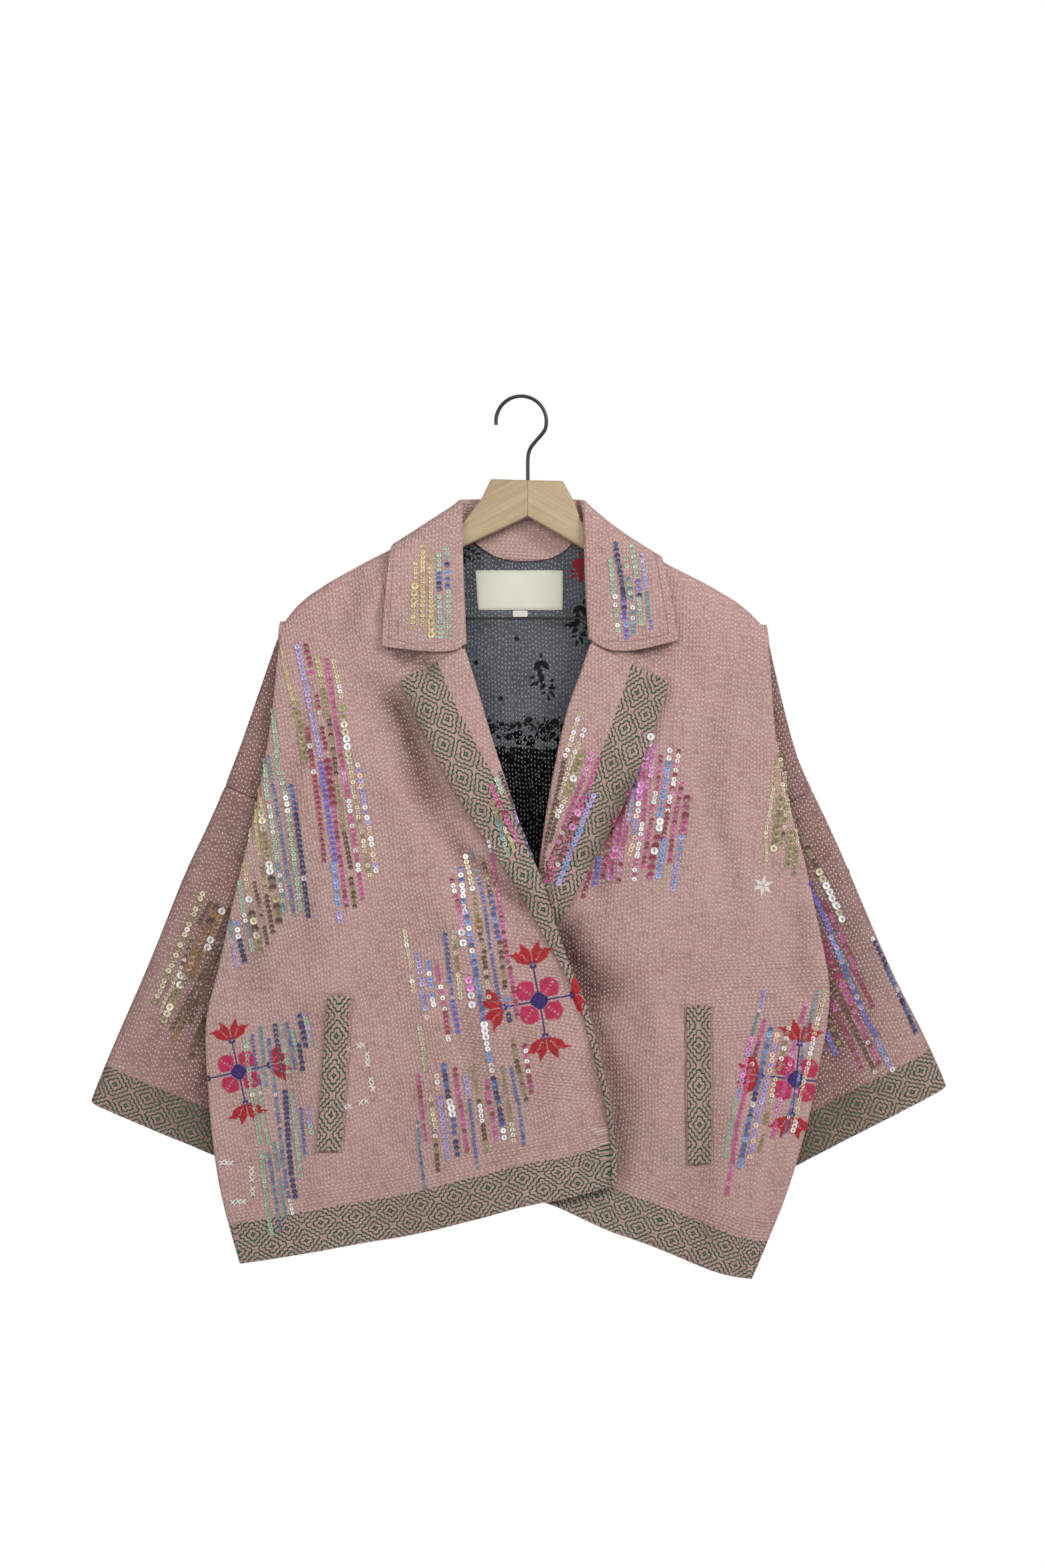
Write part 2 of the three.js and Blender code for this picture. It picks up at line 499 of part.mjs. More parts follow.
function add(name, geometry, color, roughness = 0.9, metalness = 0) {
  const material = new THREE.MeshStandardMaterial({ color, roughness, metalness, side: THREE.DoubleSide });
  const mesh = new THREE.Mesh(geometry, material);
  mesh.name = name;
  coat.add(mesh);
}

// Inner edge of a front: the neck edge under the collar, then the roll line down to the hem
function frontInner(neck, lapel, sign) {
  const tuck = WRAP + FACING_CLOTH / 2 + 0.9;
  const rows = [...neck, ...lapel.slice(1).map((row) => ({ x: row.rollX + sign * tuck, z: row.rollZ }))];
  rows[rows.length - 1].z = sign < 0 ? -729.4 : -742;
  return curveThrough(rows, 'x', 'z');
}

const sideRight = curveThrough(SIDE_RIGHT, 'edge', 'z');
const sideLeft = curveThrough(SIDE_LEFT, 'edge', 'z');
const lowered = (rows) => rows.map((row) => ({ x: row.x, z: row.z - CLOTH / 2 }));

const frontRight = panelGrid({
  top: curveThrough(lowered(SHOULDER_RIGHT), 'x', 'z'), bottom: curveThrough(HEM_RIGHT, 'x', 'z'),
  inner: frontInner(NECK_RIGHT, LAPEL_RIGHT, -1), outer: sideRight,
  sides: [{ end: 'outer', rows: SIDE_RIGHT }], columns: 11, rows: 17, length: 600, depthAt: rightFrontY, facing: -1,
});
add('front_right', wall(frontRight, CLOTH), PINK);

const frontLeft = panelGrid({
  top: curveThrough(lowered(SHOULDER_LEFT), 'x', 'z'), bottom: curveThrough(HEM_LEFT, 'x', 'z'),
  inner: frontInner(NECK_LEFT, LAPEL_LEFT, 1), outer: sideLeft,
  sides: [{ end: 'outer', rows: SIDE_LEFT }], columns: 11, rows: 17, length: 610, depthAt: leftFrontY, facing: -1,
});
add('front_left', wall(frontLeft, CLOTH), PINK);

const backTop = curveThrough(lowered([...[...SHOULDER_RIGHT].reverse(), ...NECK_BACK.slice(1, -1), ...SHOULDER_LEFT]), 'x', 'z');
const back = panelGrid({
  top: backTop, bottom: curveThrough(HEM_BACK, 'x', 'z'), inner: sideRight, outer: sideLeft,
  sides: [{ end: 'inner', rows: SIDE_RIGHT }, { end: 'outer', rows: SIDE_LEFT }],
  columns: 22, rows: 15, length: 620, depthAt: backY, facing: 1,
});
add('back', wall(back, CLOTH), PINK);

const seamShare = SEAM_GAP / 60;
for (const [side, rows, slope] of [['right', SLEEVE_RIGHT, CUFF_SLOPE_RIGHT], ['left', SLEEVE_LEFT, CUFF_SLOPE_LEFT]]) {
  add(`shoulder_${side}`, wall(sleeveGrid(rows, slope, 0, SEAM_ROW - seamShare, 5).grid, CLOTH), PINK);
  add(`sleeve_${side}`, wall(sleeveGrid(rows, slope, SEAM_ROW + seamShare, rows.length - 1, 11).grid, CLOTH), PINK);
}

add('facing_right', wall(facingGrid(LAPEL_RIGHT, rightFrontY, 22, 3), FACING_CLOTH), PINK);
add('facing_left', wall(facingGrid(LAPEL_LEFT, leftFrontY, 22, 3), FACING_CLOTH), PINK);
add('collar', wall(collarGrid(36), CLOTH), PINK);

const weltOut = -(CLOTH / 2 + 3 * SEAM_GAP + WELT_CLOTH / 2);
add('welt_right', wall(laidGrid(WELT_RIGHT, rightFrontY, weltOut, 8, 2), WELT_CLOTH), GREEN);
add('welt_left', wall(laidGrid(WELT_LEFT, leftFrontY, weltOut, 8, 2), WELT_CLOTH), GREEN);

const LABEL = table(['z', 'outX', 'inX'], [-159.4, -43, 39], [-196.5, -40.5, 38.7]);
const SIZE_TAB = table(['z', 'outX', 'inX'], [-197, -8, 6], [-203, -8, 6]);
const labelOut = -(CLOTH / 2 + SEAM_GAP + LABEL_CLOTH / 2);
add('label', wall(laidGrid(LABEL, backY, labelOut, 3, 5), LABEL_CLOTH), CREAM);
add('size_tab', wall(laidGrid(SIZE_TAB, backY, labelOut, 1, 1), LABEL_CLOTH), CREAM);

// Hanger: a flat shaped board, its arms running out under the shoulders
const WOOD_OUTLINE = table(['x', 'z'],
  [-28, -76.2], [-36.5, -93.6], [-54.5, -117], [-60, -121.5], [-68, -126.5], [-95, -138.5], [-127, -151], [-155, -165.5], [-182, -181.5],
  [-203, -198], [-212, -210], [-211, -221], [-203, -222], [-182, -205], [-155, -189.5], [-127, -175], [-95, -159.5], [-54.5, -139.2],
  [6, -110.6], [57, -140.2], [100, -163.5], [133, -180.5], [165, -197.5], [192, -213], [206, -225], [216, -224], [217, -213],
  [208, -203.5], [192, -191.5], [165, -177], [133, -160], [100, -142.5], [72, -128], [63.5, -122], [55, -114], [50, -98.5], [38.8, -77.9]);

const board = new THREE.Shape(WOOD_OUTLINE.map((row) => new THREE.Vector2(row.x, row.z)));
const boardGeometry = new THREE.ExtrudeGeometry(board, {
  depth: WOOD - 3, bevelEnabled: true, bevelThickness: 1.5, bevelSize: 1.5, bevelOffset: -1.5, bevelSegments: 2, steps: 1,
});
boardGeometry.translate(0, 0, -(WOOD - 3) / 2);
boardGeometry.rotateX(Math.PI / 2);

function welded(geometry) {
  geometry.deleteAttribute('normal');
  geometry.deleteAttribute('uv');
  return facingOut(mergeVertices(geometry, 1e-3));
}

add('hanger_wood', welded(boardGeometry), PALE_WOOD, 0.6);

// A round wire along a smooth line in the plane y = 0
function wire(points, diameter, steps, smoothing = 'centripetal') {
  const path = new THREE.CatmullRomCurve3(points.map(([x, z]) => new THREE.Vector3(x, 0, z)), false, smoothing);
  const ring = new THREE.Shape();
  const sides = 8;
  for (let k = 0; k < sides; k += 1) {
    const a = 2 * Math.PI * k / sides;
    const [px, py] = [Math.cos(a) * diameter / 2, Math.sin(a) * diameter / 2];
    if (k === 0) ring.moveTo(px, py);
    else ring.lineTo(px, py);
  }
  ring.closePath();
  return welded(new THREE.ExtrudeGeometry(ring, { steps, extrudePath: path, bevelEnabled: false }));
}

// Hook: most of a circle, then a bend down into the board
const HOOK_RADIUS = 23.5;
const HOOK_CENTRE_Z = HOOK_WIRE / 2 - HOOK_RADIUS;
const hookPoints = [];
for (let degrees = 188; degrees >= -20; degrees -= 13) {
  const a = degrees * Math.PI / 180;
  hookPoints.push([HOOK_RADIUS * Math.cos(a), HOOK_CENTRE_Z + HOOK_RADIUS * Math.sin(a)]);
}
hookPoints.push([18, -35.2], [12.4, -41.6], [8.4, -47], [6.6, -53], [6.2, -60], [6.2, -76.75]);
add('hanger_hook', wire(hookPoints, HOOK_WIRE, 34), BLACK, 0.35, 0.9);

// Trouser bar: a straight rod whose ends rise to the arms
const BAR_Z = -205;
const barPoints = [[-170, -199.6], [-170, -201.2], [-168.6, -203.6], [-165, BAR_Z], [-100, BAR_Z], [0, BAR_Z],
  [100, BAR_Z], [156, BAR_Z], [159.6, -203.6], [161, -200], [161, -197.2]];
add('trouser_bar', wire(barPoints, BAR_WIRE, 44), BLACK, 0.35, 0.9);

export default coat;
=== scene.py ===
import math
import random

import bmesh
import bpy
import numpy as np
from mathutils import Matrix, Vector
from mathutils.bvhtree import BVHTree


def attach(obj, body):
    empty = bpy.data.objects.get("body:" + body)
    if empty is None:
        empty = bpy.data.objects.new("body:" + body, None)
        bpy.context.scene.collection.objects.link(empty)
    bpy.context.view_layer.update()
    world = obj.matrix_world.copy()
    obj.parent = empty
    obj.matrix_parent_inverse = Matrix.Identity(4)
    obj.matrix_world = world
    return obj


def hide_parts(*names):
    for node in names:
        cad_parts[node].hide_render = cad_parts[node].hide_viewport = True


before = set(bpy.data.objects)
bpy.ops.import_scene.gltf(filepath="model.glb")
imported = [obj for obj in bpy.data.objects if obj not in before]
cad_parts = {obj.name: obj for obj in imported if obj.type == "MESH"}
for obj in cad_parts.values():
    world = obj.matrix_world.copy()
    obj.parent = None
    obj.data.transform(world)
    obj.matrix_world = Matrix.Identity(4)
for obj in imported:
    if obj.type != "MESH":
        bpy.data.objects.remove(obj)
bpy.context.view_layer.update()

# The coat hangs against plain white, seen from straight in front at its own height.
# The pale floor lies well below it, out of this view.
bpy.ops.object.select_all(action="DESELECT")
scene = bpy.context.scene
bpy.ops.object.camera_add(location=(0.0012, -2.0, -0.3593), rotation=(math.radians(90), 0, 0))
camera = bpy.context.object
camera.name = "camera"
camera.data.lens = 49.35
camera.data.sensor_width = 36
camera.data.dof.use_dof = False
scene.camera = camera
scene.view_settings.view_transform = "Standard"
scene.view_settings.look = "None"

world = bpy.data.worlds.new("white_room")
scene.world = world
world.use_nodes = True
sky = world.node_tree
sky.nodes["Background"].inputs["Color"].default_value = (1, 1, 1, 1)
sky.nodes["Background"].inputs["Strength"].default_value = 0.20
seen = sky.nodes.new("ShaderNodeBackground")
seen.inputs["Color"].default_value = (1, 1, 1, 1)
seen.inputs["Strength"].default_value = 1.02
ray = sky.nodes.new("ShaderNodeLightPath")
either = sky.nodes.new("ShaderNodeMixShader")
sky.links.new(ray.outputs["Is Camera Ray"], either.inputs[0])
sky.links.new(sky.nodes["Background"].outputs[0], either.inputs[1])
sky.links.new(seen.outputs[0], either.inputs[2])
sky.links.new(either.outputs[0], sky.nodes["World Output"].inputs["Surface"])

# place, aim, width, height, watts
softboxes = [
    ("window", (1.5, -1.35, 0.95), (0.0, 0.0, -0.45), 0.9, 1.1, 37.5),
    ("reflector", (-1.3, -1.7, 0.2), (0.0, 0.0, -0.45), 1.0, 1.2, 15.0),
    ("lamp", (0.1, -1.5, 0.25), (0.0, 0.0, -0.45), 0.6, 0.6, 8.0),
    ("behind", (0.4, 1.8, 0.6), (0.0, 0.0, -0.4), 1.4, 1.0, 22.0),
]
for name, place, aim, width, height, watts in softboxes:
    bpy.ops.object.light_add(type="AREA", location=place)
    lamp = bpy.context.object
    lamp.name = name
    lamp.data.shape = "RECTANGLE"
    lamp.data.size = width
    lamp.data.size_y = height
    lamp.data.energy = watts
    lamp.rotation_euler = (Vector(aim) - Vector(place)).to_track_quat("-Z", "Y").to_euler()

bpy.ops.object.select_all(action="DESELECT")
bpy.ops.mesh.primitive_circle_add(vertices=96, radius=1.6, fill_type="NGON", location=(0, -0.9, -1.35))
floor = bpy.context.object
floor.name = "floor"


# The coat's cloth is cotton quilted by hand: two faces held together with rows of white running stitches,
# rose outside and slate printed with black inside. Hems, cuffs and lapels carry a green stitched lattice.
class Value:
    """A number or colour in a material. Arithmetic on it adds the nodes that work it out."""

    tree = None

    def __init__(self, socket):
        self.socket = socket

    @classmethod
    def node(cls, kind, settings=None, output=0, **values):
        """Adds a node. A value named _3 goes to its fourth socket, any other to the socket of its name."""
        node = cls.tree.nodes.new("ShaderNode" + kind)
        for key, setting in (settings or {}).items():
            setattr(node, key, setting)
        for name, value in values.items():
            slot = node.inputs[int(name[1:])] if name[0] == "_" else node.inputs[name.replace("_", " ")]
            if isinstance(value, Value):
                cls.tree.links.new(value.socket, slot)
            elif isinstance(value, tuple) and slot.type == "RGBA":
                slot.default_value = (*value, 1)
            else:
                slot.default_value = value
        return cls(node.outputs[output])

    def math(self, operation, *others):
        sockets = {f"_{i}": value for i, value in enumerate((self, *others))}
        return Value.node("Math", {"operation": operation}, **sockets)

    def __add__(self, other):
        return self.math("ADD", other)

    __radd__ = __add__

    def __mul__(self, other):
        return self.math("MULTIPLY", other)

    __rmul__ = __mul__

    def __sub__(self, other):
        return self.math("SUBTRACT", other)

    def __rsub__(self, other):
        return Value.node("Math", {"operation": "SUBTRACT"}, _0=other, _1=self)

    def __truediv__(self, other):
        return self.math("DIVIDE", other)

    def __abs__(self):
        return self.math("ABSOLUTE")

    def above(self, edge, soft):
        """0 below the edge and 1 above it, over a soft width."""
        low, high = edge - soft / 2, edge + soft / 2
        return Value.node("MapRange", {"interpolation_type": "SMOOTHSTEP"}, _0=self, _1=low, _2=high)

    def floor(self):
        return self.math("FLOOR")

    def wrapped(self):
        return self.math("FRACT")

    def limit(self):
        return self.math("MINIMUM", 1.0).math("MAXIMUM", 0.0)

    def split(self):
        parts = Value.tree.nodes.new("ShaderNodeSeparateXYZ")
        Value.tree.links.new(self.socket, parts.inputs[0])
        return [Value(socket) for socket in parts.outputs]

    def shifted(self, other, reach):
        """A place moved aside by a colour's three numbers, each up to reach either way."""
        centred = Value.node("VectorMath", {"operation": "SUBTRACT"}, _0=other, _1=(0.5, 0.5, 0.5))
        moved = Value.node("VectorMath", {"operation": "SCALE"}, _0=centred, Scale=reach * 2)
        return Value.node("VectorMath", {"operation": "ADD"}, _0=self, _1=moved)

    def tint(self, first, second):
        """A colour between two others, this number being the share of the second."""
        return Value.node("Mix", {"data_type": "RGBA"}, output=2, _0=self, _6=first, _7=second)

    def feed(self, name):
        """Goes into one of the main shader's sockets."""
        Value.tree.links.new(self.socket, Value.tree.nodes["Principled BSDF"].inputs[name])


def new_material(name, **settings):
    """A material whose main shader has these settings. What is worked out next goes into it."""
    material = bpy.data.materials.new(name)
    material.use_nodes = True
    Value.tree = material.node_tree
    for key, value in settings.items():
        slot = material.node_tree.nodes["Principled BSDF"].inputs[key.replace("_", " ")]
        slot.default_value = (*value, 1) if isinstance(value, tuple) else value
    return material


def noise(place, scale, detail=2.0, rough=0.5, stretch=None):
    if stretch:
        place = Value.node("Mapping", {}, Vector=place, Scale=stretch)
    return Value.node("TexNoise", {}, Vector=place, Scale=scale, Detail=detail, Roughness=rough)


def bump(height, distance, strength=1.0):
    Value.node("Bump", {}, Height=height, Distance=distance, Strength=strength).feed("Normal")


def chance(a, b=0.0):
    """An even random number that belongs to one stitch or one row."""
    pair = Value.node("CombineXYZ", {}, _0=a, _1=b)
    return Value.node("TexWhiteNoise", {"noise_dimensions": "2D"}, Vector=pair)


ROW = 3.15  # mm between two rows of running stitch
PITCH = 4.3  # mm from one stitch to the next
BAND = 38.5  # mm, depth of a band
LATTICE = (16.3, 13.7)  # mm, half of a diamond along and across a band
REPEAT = 2 * LATTICE[0]
FIRST_ROW = 12.0  # mm from a band's edge to the middles of its first row of diamonds
FIRST_RING, NEXT_RING = 0.12, 0.355  # reach of a diamond's smallest ring, and from each to the next


def stitched_rows(rows):
    """Where the dashes lie, and the swell of the quilting between the rows."""
    along, across, _ = rows.split()
    wander = noise(rows, 14.0, 1.0)
    shake = noise(rows, 150.0, 1.0)
    across = across * 1000 + (wander - 0.5) * 9.0 + (shake - 0.5) * 1.6
    lane = (across / ROW).floor()
    along = along * (1000 / PITCH) + chance(lane) * 7.0 + (wander - 0.5) * 1.6 + (shake - 0.5) * 0.6
    own = chance(lane, along.floor())
    from_middle = along.wrapped() - 0.5 + (own - 0.5) * 0.26
    from_row = abs((across / ROW).wrapped() - 0.5 + from_middle * (own - 0.35) * 0.8)
    from_middle = abs(from_middle)
    dash = (1 - from_row.above(0.105, 0.08)) * (1 - from_middle.above(0.185, 0.10))
    dash = dash * (1 - own.above(0.87, 0.01))
    puff = from_row * 2
    pinch = (1 - from_row.above(0.16, 0.2)) * (1 - from_middle.above(0.36, 0.2))
    return dash, puff, pinch


def lattice(along, depth):
    """Green running stitch: diamonds one inside the other with stepped sides, in two rows over the band."""

    def from_middle(value):
        return abs(((value + 1) / 2).wrapped() * 2 - 1)

    def steps(value):
        return (abs((value * 2.5).wrapped() - 0.5) - 0.25) * 0.22

    x = along / LATTICE[0]
    y = (depth - FIRST_ROW) / LATTICE[1]
    rising, falling = from_middle(x + y), from_middle(x - y)
    outer = (rising.math("MAXIMUM", falling) * 2.4).limit()
    reach = (rising + steps(x - y) * outer).math("MAXIMUM", falling + steps(x + y) * outer)
    from_line = abs(((reach - FIRST_RING) / NEXT_RING + 0.5).wrapped() - 0.5)
    line = 1 - from_line.above(0.165, 0.10)
    return line * (1 - depth.above(BAND, 0.3)) * depth.above(0.6, 0.4)


def quilted(name, cloth, thread, green=None):
    """One face of the quilting. cloth gives its plain colour at a place, thread its stitches' colour."""
    material = new_material(
        name, Roughness=0.95, Specular_IOR_Level=0.08, Sheen_Weight=0.03, Sheen_Roughness=0.5)
    rows = Value.node("UVMap", {"uv_map": "rows"})
    dash, puff, pinch = stitched_rows(rows)
    place = Value.node("TexCoord", {}, output=3)
    colour = cloth(place)
    weave = noise(rows, 700.0, 2.0)
    pucker = noise(rows, 75.0, 3.0, 0.65, stretch=(3.0, 1.0, 1.0))
    ripple = noise(rows, 60.0, 2.0, 0.6, stretch=(0.5, 2.0, 1.0))
    painted_shade = Value.node("Attribute", {"attribute_name": "painted_shade"}, output=2)
    # Painted shade: the colour darkens in the furrows and puckers of the quilting, in the creases and on the
    # sleeves beside the body.
    painted_shade_tone = (0.24, 0.165, 0.157)
    multiply = {"data_type": "RGBA", "blend_type": "MULTIPLY"}
    darker = Value.node("Mix", multiply, output=2, _0=1.0, _6=colour, _7=painted_shade_tone)
    dip = (1 - puff.above(0.3, 0.6)) * 0.30 + (1 - pucker.above(0.44, 0.3)) * 0.32
    dip = dip + (1 - ripple.above(0.45, 0.4)) * 0.16
    colour = (dip * 0.45 + painted_shade * 0.85).limit().tint(colour, darker)
    height = puff * 0.40 + pucker * 0.95 + ripple * 0.9 - pinch * 0.25 + weave * 0.08
    if green:
        band_along, band_depth, _ = Value.node("UVMap", {"uv_map": "band"}).split()
        crooked = noise(rows, 240.0, 2.0)
        swerve = noise(rows, 40.0, 1.0)
        along = band_along * 1000 + (crooked - 0.5) * 1.8 + (swerve - 0.5) * 4.0
        depth = band_depth * 1000 + (crooked - 0.5) * 1.8
        stitches = lattice(along, depth)
        dash = dash * (band_depth * 1000).above(BAND + 0.5, 1.0)
        dyed = ((crooked - 0.35) * 2.0).limit().tint((0.008, 0.070, 0.034), green)
        colour = stitches.tint(colour, dyed)
        height = height + stitches * 0.4
    dash.tint(colour, thread).feed("Base Color")
    bump(height + dash * 0.3, 0.0013, 0.9)
    return material


def rose(place):
    """Rose, faded in blotches and a little greyer in some of the joined scraps."""
    patch = noise(place, 6.5, 1.0).above(0.56, 0.03)
    blotch = noise(place, 14.0, 3.0, 0.6).above(0.5, 0.5)
    fleck = noise(place, 900.0, 2.0)
    cloth = blotch.tint((0.520, 0.330, 0.302), (0.462, 0.280, 0.258))
    cloth = (patch * 0.45).tint(cloth, (0.455, 0.315, 0.285))
    return (fleck * 0.35).tint(cloth, (0.38, 0.228, 0.215))


def slate(place):
    """Slate to half way down the chest, then black below a printed border of close leaves."""
    _, _, high = place.split()
    swirl = place.shifted(noise(place, 60.0, 2.0), 0.012)
    leaves = Value.node("TexVoronoi", {"feature": "DISTANCE_TO_EDGE"}, Vector=swirl, Scale=120.0)
    which = Value.node("TexVoronoi", {"feature": "F1"}, output=1, Vector=swirl, Scale=120.0).split()[0]
    high = high * 1000 + (noise(place, 95.0, 2.0, 0.6) - 0.5) * 22
    in_border = (1 - high.above(-300, 3)) * leaves.above(0.07, 0.03) * which.above(0.38, 0.02)
    below = (1 - high.above(-326, 4)) * leaves.above(0.012, 0.01)
    dark = in_border.math("MAXIMUM", below)
    wear_and_shade = noise(place, 330.0, 3.0).above(0.66, 0.06) * (1 - high.above(-336, 2))
    cloth = noise(place, 12.0, 2.0).above(0.5, 0.5).tint((0.118, 0.126, 0.143), (0.080, 0.085, 0.098))
    return dark.tint(cloth, (wear_and_shade * 0.15).tint((0.0015, 0.0015, 0.002), (0.09, 0.09, 0.095)))


ROSE = quilted("rose_quilting", rose, (0.72, 0.66, 0.60), green=(0.020, 0.165, 0.080))
SLATE = quilted("slate_quilting", slate, (0.40, 0.41, 0.43))


def soft_step(start, end, value):
    t = np.clip((value - start) / (end - start), 0, 1)
    return t * t * (3 - 2 * t)


def creased(points, creases):
    """How far the creases push the cloth out, in mm. A crease runs from one (x, z) to another."""
    push = np.zeros(len(points))
    for x0, z0, x1, z1, width, depth in creases:
        way = np.array([x1 - x0, z1 - z0])
        length = np.hypot(*way)
        way = way / length
        from_start = points[:, [0, 2]] - (x0, z0)
        along = from_start @ way / length
        off = from_start @ np.array([-way[1], way[0]])
        off = off - 0.05 * length * np.sin(along * 5.3 + x0)
        taper = soft_step(-0.10, 0.22, along) * soft_step(1.10, 0.75, along)
        push += depth * taper * np.exp(-((off / (width * (0.8 + 0.4 * np.clip(along, 0, 1)))) ** 2))
    return push


# Turn in radians, wavelength in mm and depth in mm of each swell that quilting leaves
SWELLS = ((0.2, 41.0, 0.55), (1.3, 29.0, 0.45), (2.4, 23.0, 0.35), (2.9, 57.0, 0.6), (0.9, 17.0, 0.25))


def undulation(points, seed):
    """The slight unevenness that quilting leaves, in mm: all over, but flat where the label is sewn on."""
    x, _, z = points.T
    total = np.zeros(len(points))
    for turn, wave, depth in SWELLS:
        across = x * np.cos(turn + seed) + z * np.sin(turn + seed)
        along = -x * np.sin(turn + seed) + z * np.cos(turn + seed)
        total += depth * np.sin(across * 6.283 / wave + 1.7 * np.sin(along / (wave * 1.6)) + seed * 2)
    beside_label = np.clip(np.maximum(np.abs(x + 2) - 48, np.abs(z + 178) - 24) / 14, 0, 1)
    return total * beside_label


FOLD = math.radians(63)  # a fold as sharp as this is a rim


def skins(form):
    """The faces of a shell in smooth groups, largest first: outer face, inner face, then the rims."""
    left = set(form.faces)
    groups = []
    for first in sorted(form.faces, key=lambda face: -face.calc_area()):
        if first not in left:
            continue
        group = [first]
        left.discard(first)
        for face in group:
            for edge in face.edges:
                for other in edge.link_faces:
                    if other in left and edge.calc_face_angle(0) < FOLD:
                        left.discard(other)
                        group.append(other)
        groups.append(group)
    return sorted(groups, key=lambda group: -sum(face.calc_area() for face in group))


def cloth_piece(node, rows_map, band_map=None, creases=(), outward=-1, inner=None, seed=0.0, body_shade=None):
    """A thin shell on the form of one cut piece: rim rounded, faces smooth and creases laid in."""
    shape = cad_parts[node]
    mesh = bpy.data.meshes.new(node + "_cloth")
    form = bmesh.new()
    form.from_mesh(shape.data)
    bmesh.ops.remove_doubles(form, verts=form.verts, dist=2e-6)
    flat, square = math.radians(50), math.radians(80)
    bmesh.ops.join_triangles(
        form, faces=form.faces, angle_face_threshold=flat, angle_shape_threshold=square)
    inside = set(skins(form)[1]) if inner else ()
    for face in form.faces:
        face.material_index = 1 if face in inside else 0
        face.smooth = True
    form.to_mesh(mesh)
    form.free()
    piece = bpy.data.objects.new(node + "_cloth", mesh)
    scene.collection.objects.link(piece)
    mesh.materials.append(ROSE)
    mesh.materials.append(inner or ROSE)
    bpy.ops.object.select_all(action="DESELECT")
    bpy.context.view_layer.objects.active = piece
    piece.select_set(True)
    rim = piece.modifiers.new("rim", "BEVEL")
    rim.width = 0.0007
    rim.segments = 1
    rim.limit_method = "ANGLE"
    rim.angle_limit = FOLD
    bpy.ops.object.modifier_apply(modifier="rim")
    fine = piece.modifiers.new("fine", "SUBSURF")
    fine.levels = fine.render_levels = 2
    bpy.ops.object.modifier_apply(modifier="fine")
    places = np.empty(len(mesh.vertices) * 3)
    mesh.vertices.foreach_get("co", places)
    points = places.reshape(-1, 3) * 1000
    flat = points.copy()
    push = creased(flat, creases)
    points[:, 1] += outward * push + 0.6 * undulation(flat, seed)
    mesh.vertices.foreach_set("co", (points / 1000).ravel())
    # Painted shade: the deeper a crease, the darker the cloth's colour there, with the sleeves' painted
    # shade beside the body added.
    painted_shade = np.clip(-push / 12.5, 0, 0.9) + (body_shade(flat) if body_shade else 0)
    mesh.attributes.new("painted_shade", "FLOAT", "POINT").data.foreach_set("value", painted_shade.astype(np.float32))
    corner = np.empty(len(mesh.loops), dtype=np.int32)
    mesh.loops.foreach_get("vertex_index", corner)
    sizes = np.empty(len(mesh.polygons), dtype=np.int32)
    mesh.polygons.foreach_get("loop_total", sizes)
    starts = np.concatenate(([0], np.cumsum(sizes)[:-1]))
    middles = np.repeat(np.add.reduceat(flat[corner], starts) / sizes[:, None], sizes, axis=0)
    for title, chart in (("rows", rows_map), ("band", band_map)):
        layer = mesh.uv_layers.new(name=title)
        uv = np.column_stack(chart(flat[corner], middles)) / 1000 if chart else np.ones((len(corner), 2))
        layer.data.foreach_set("uv", uv.astype(np.float32).ravel())
    mesh.update()
    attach(piece, "root")
    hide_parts(node)
    return piece


def distance_along(points, line):
    """For each point, seen from the front: how far along a line it lies, and how far off."""
    line = np.array(line, dtype=float)
    spot = points[:, [0, 2]]
    best = np.full(len(points), 1e9)
    run = np.zeros(len(points))
    start = 0.0
    for a, b in zip(line[:-1], line[1:]):
        way = b - a
        length = np.hypot(*way)
        t = np.clip((spot - a) @ way / length**2, 0, 1)
        gap = np.hypot(*(spot - a - t[:, None] * way).T)
        nearer = gap < best
        best = np.where(nearer, gap, best)
        run = np.where(nearer, start + t * length, run)
        start += length
    return run, best


def upright(points, middles):
    """Rows run up and down."""
    return points[:, 2], points[:, 0]


def rows_over(hem, level, lean, aside=lambda x, z: False):
    """Rows run along the hem low down and in the scraps that aside names, and up and down elsewhere."""

    def chart(points, middles):
        x, z = points[:, 0], points[:, 2]
        run, off = distance_along(points, hem)
        low = distance_along(middles, hem)[1] < level
        turned = aside(middles[:, 0], middles[:, 2])
        along = np.where(turned, x - lean * z, z - lean * x)
        across = np.where(turned, z + lean * x, x + lean * z)
        return np.where(low, run, along), np.where(low, off, across)

    return chart


def band_on(line, repeat):
    """The band lies along this edge, its diamonds so far apart in mm."""

    def chart(points, middles):
        run, off = distance_along(points, line)
        return run * REPEAT / repeat, off

    return chart


HEM_RIGHT = [(84.5, -729.4), (60, -738.4), (11.2, -747.1), (-44, -761), (-100.4, -776.5), (-173.6, -788),
             (-215.8, -796.1), (-300, -811)]
HEM_LEFT = [(-80, -742), (-20, -742), (19.2, -745.9), (77.5, -772.5), (122.1, -787.4), (167.4, -805.4),
            (194.1, -815.3), (250, -825)]
HEM_BACK = [(-300, -811), (-173.6, -786), (-100.4, -772), (-44, -756), (4, -743), (50, -752),
            (122.1, -781), (167.4, -800), (250, -832)]

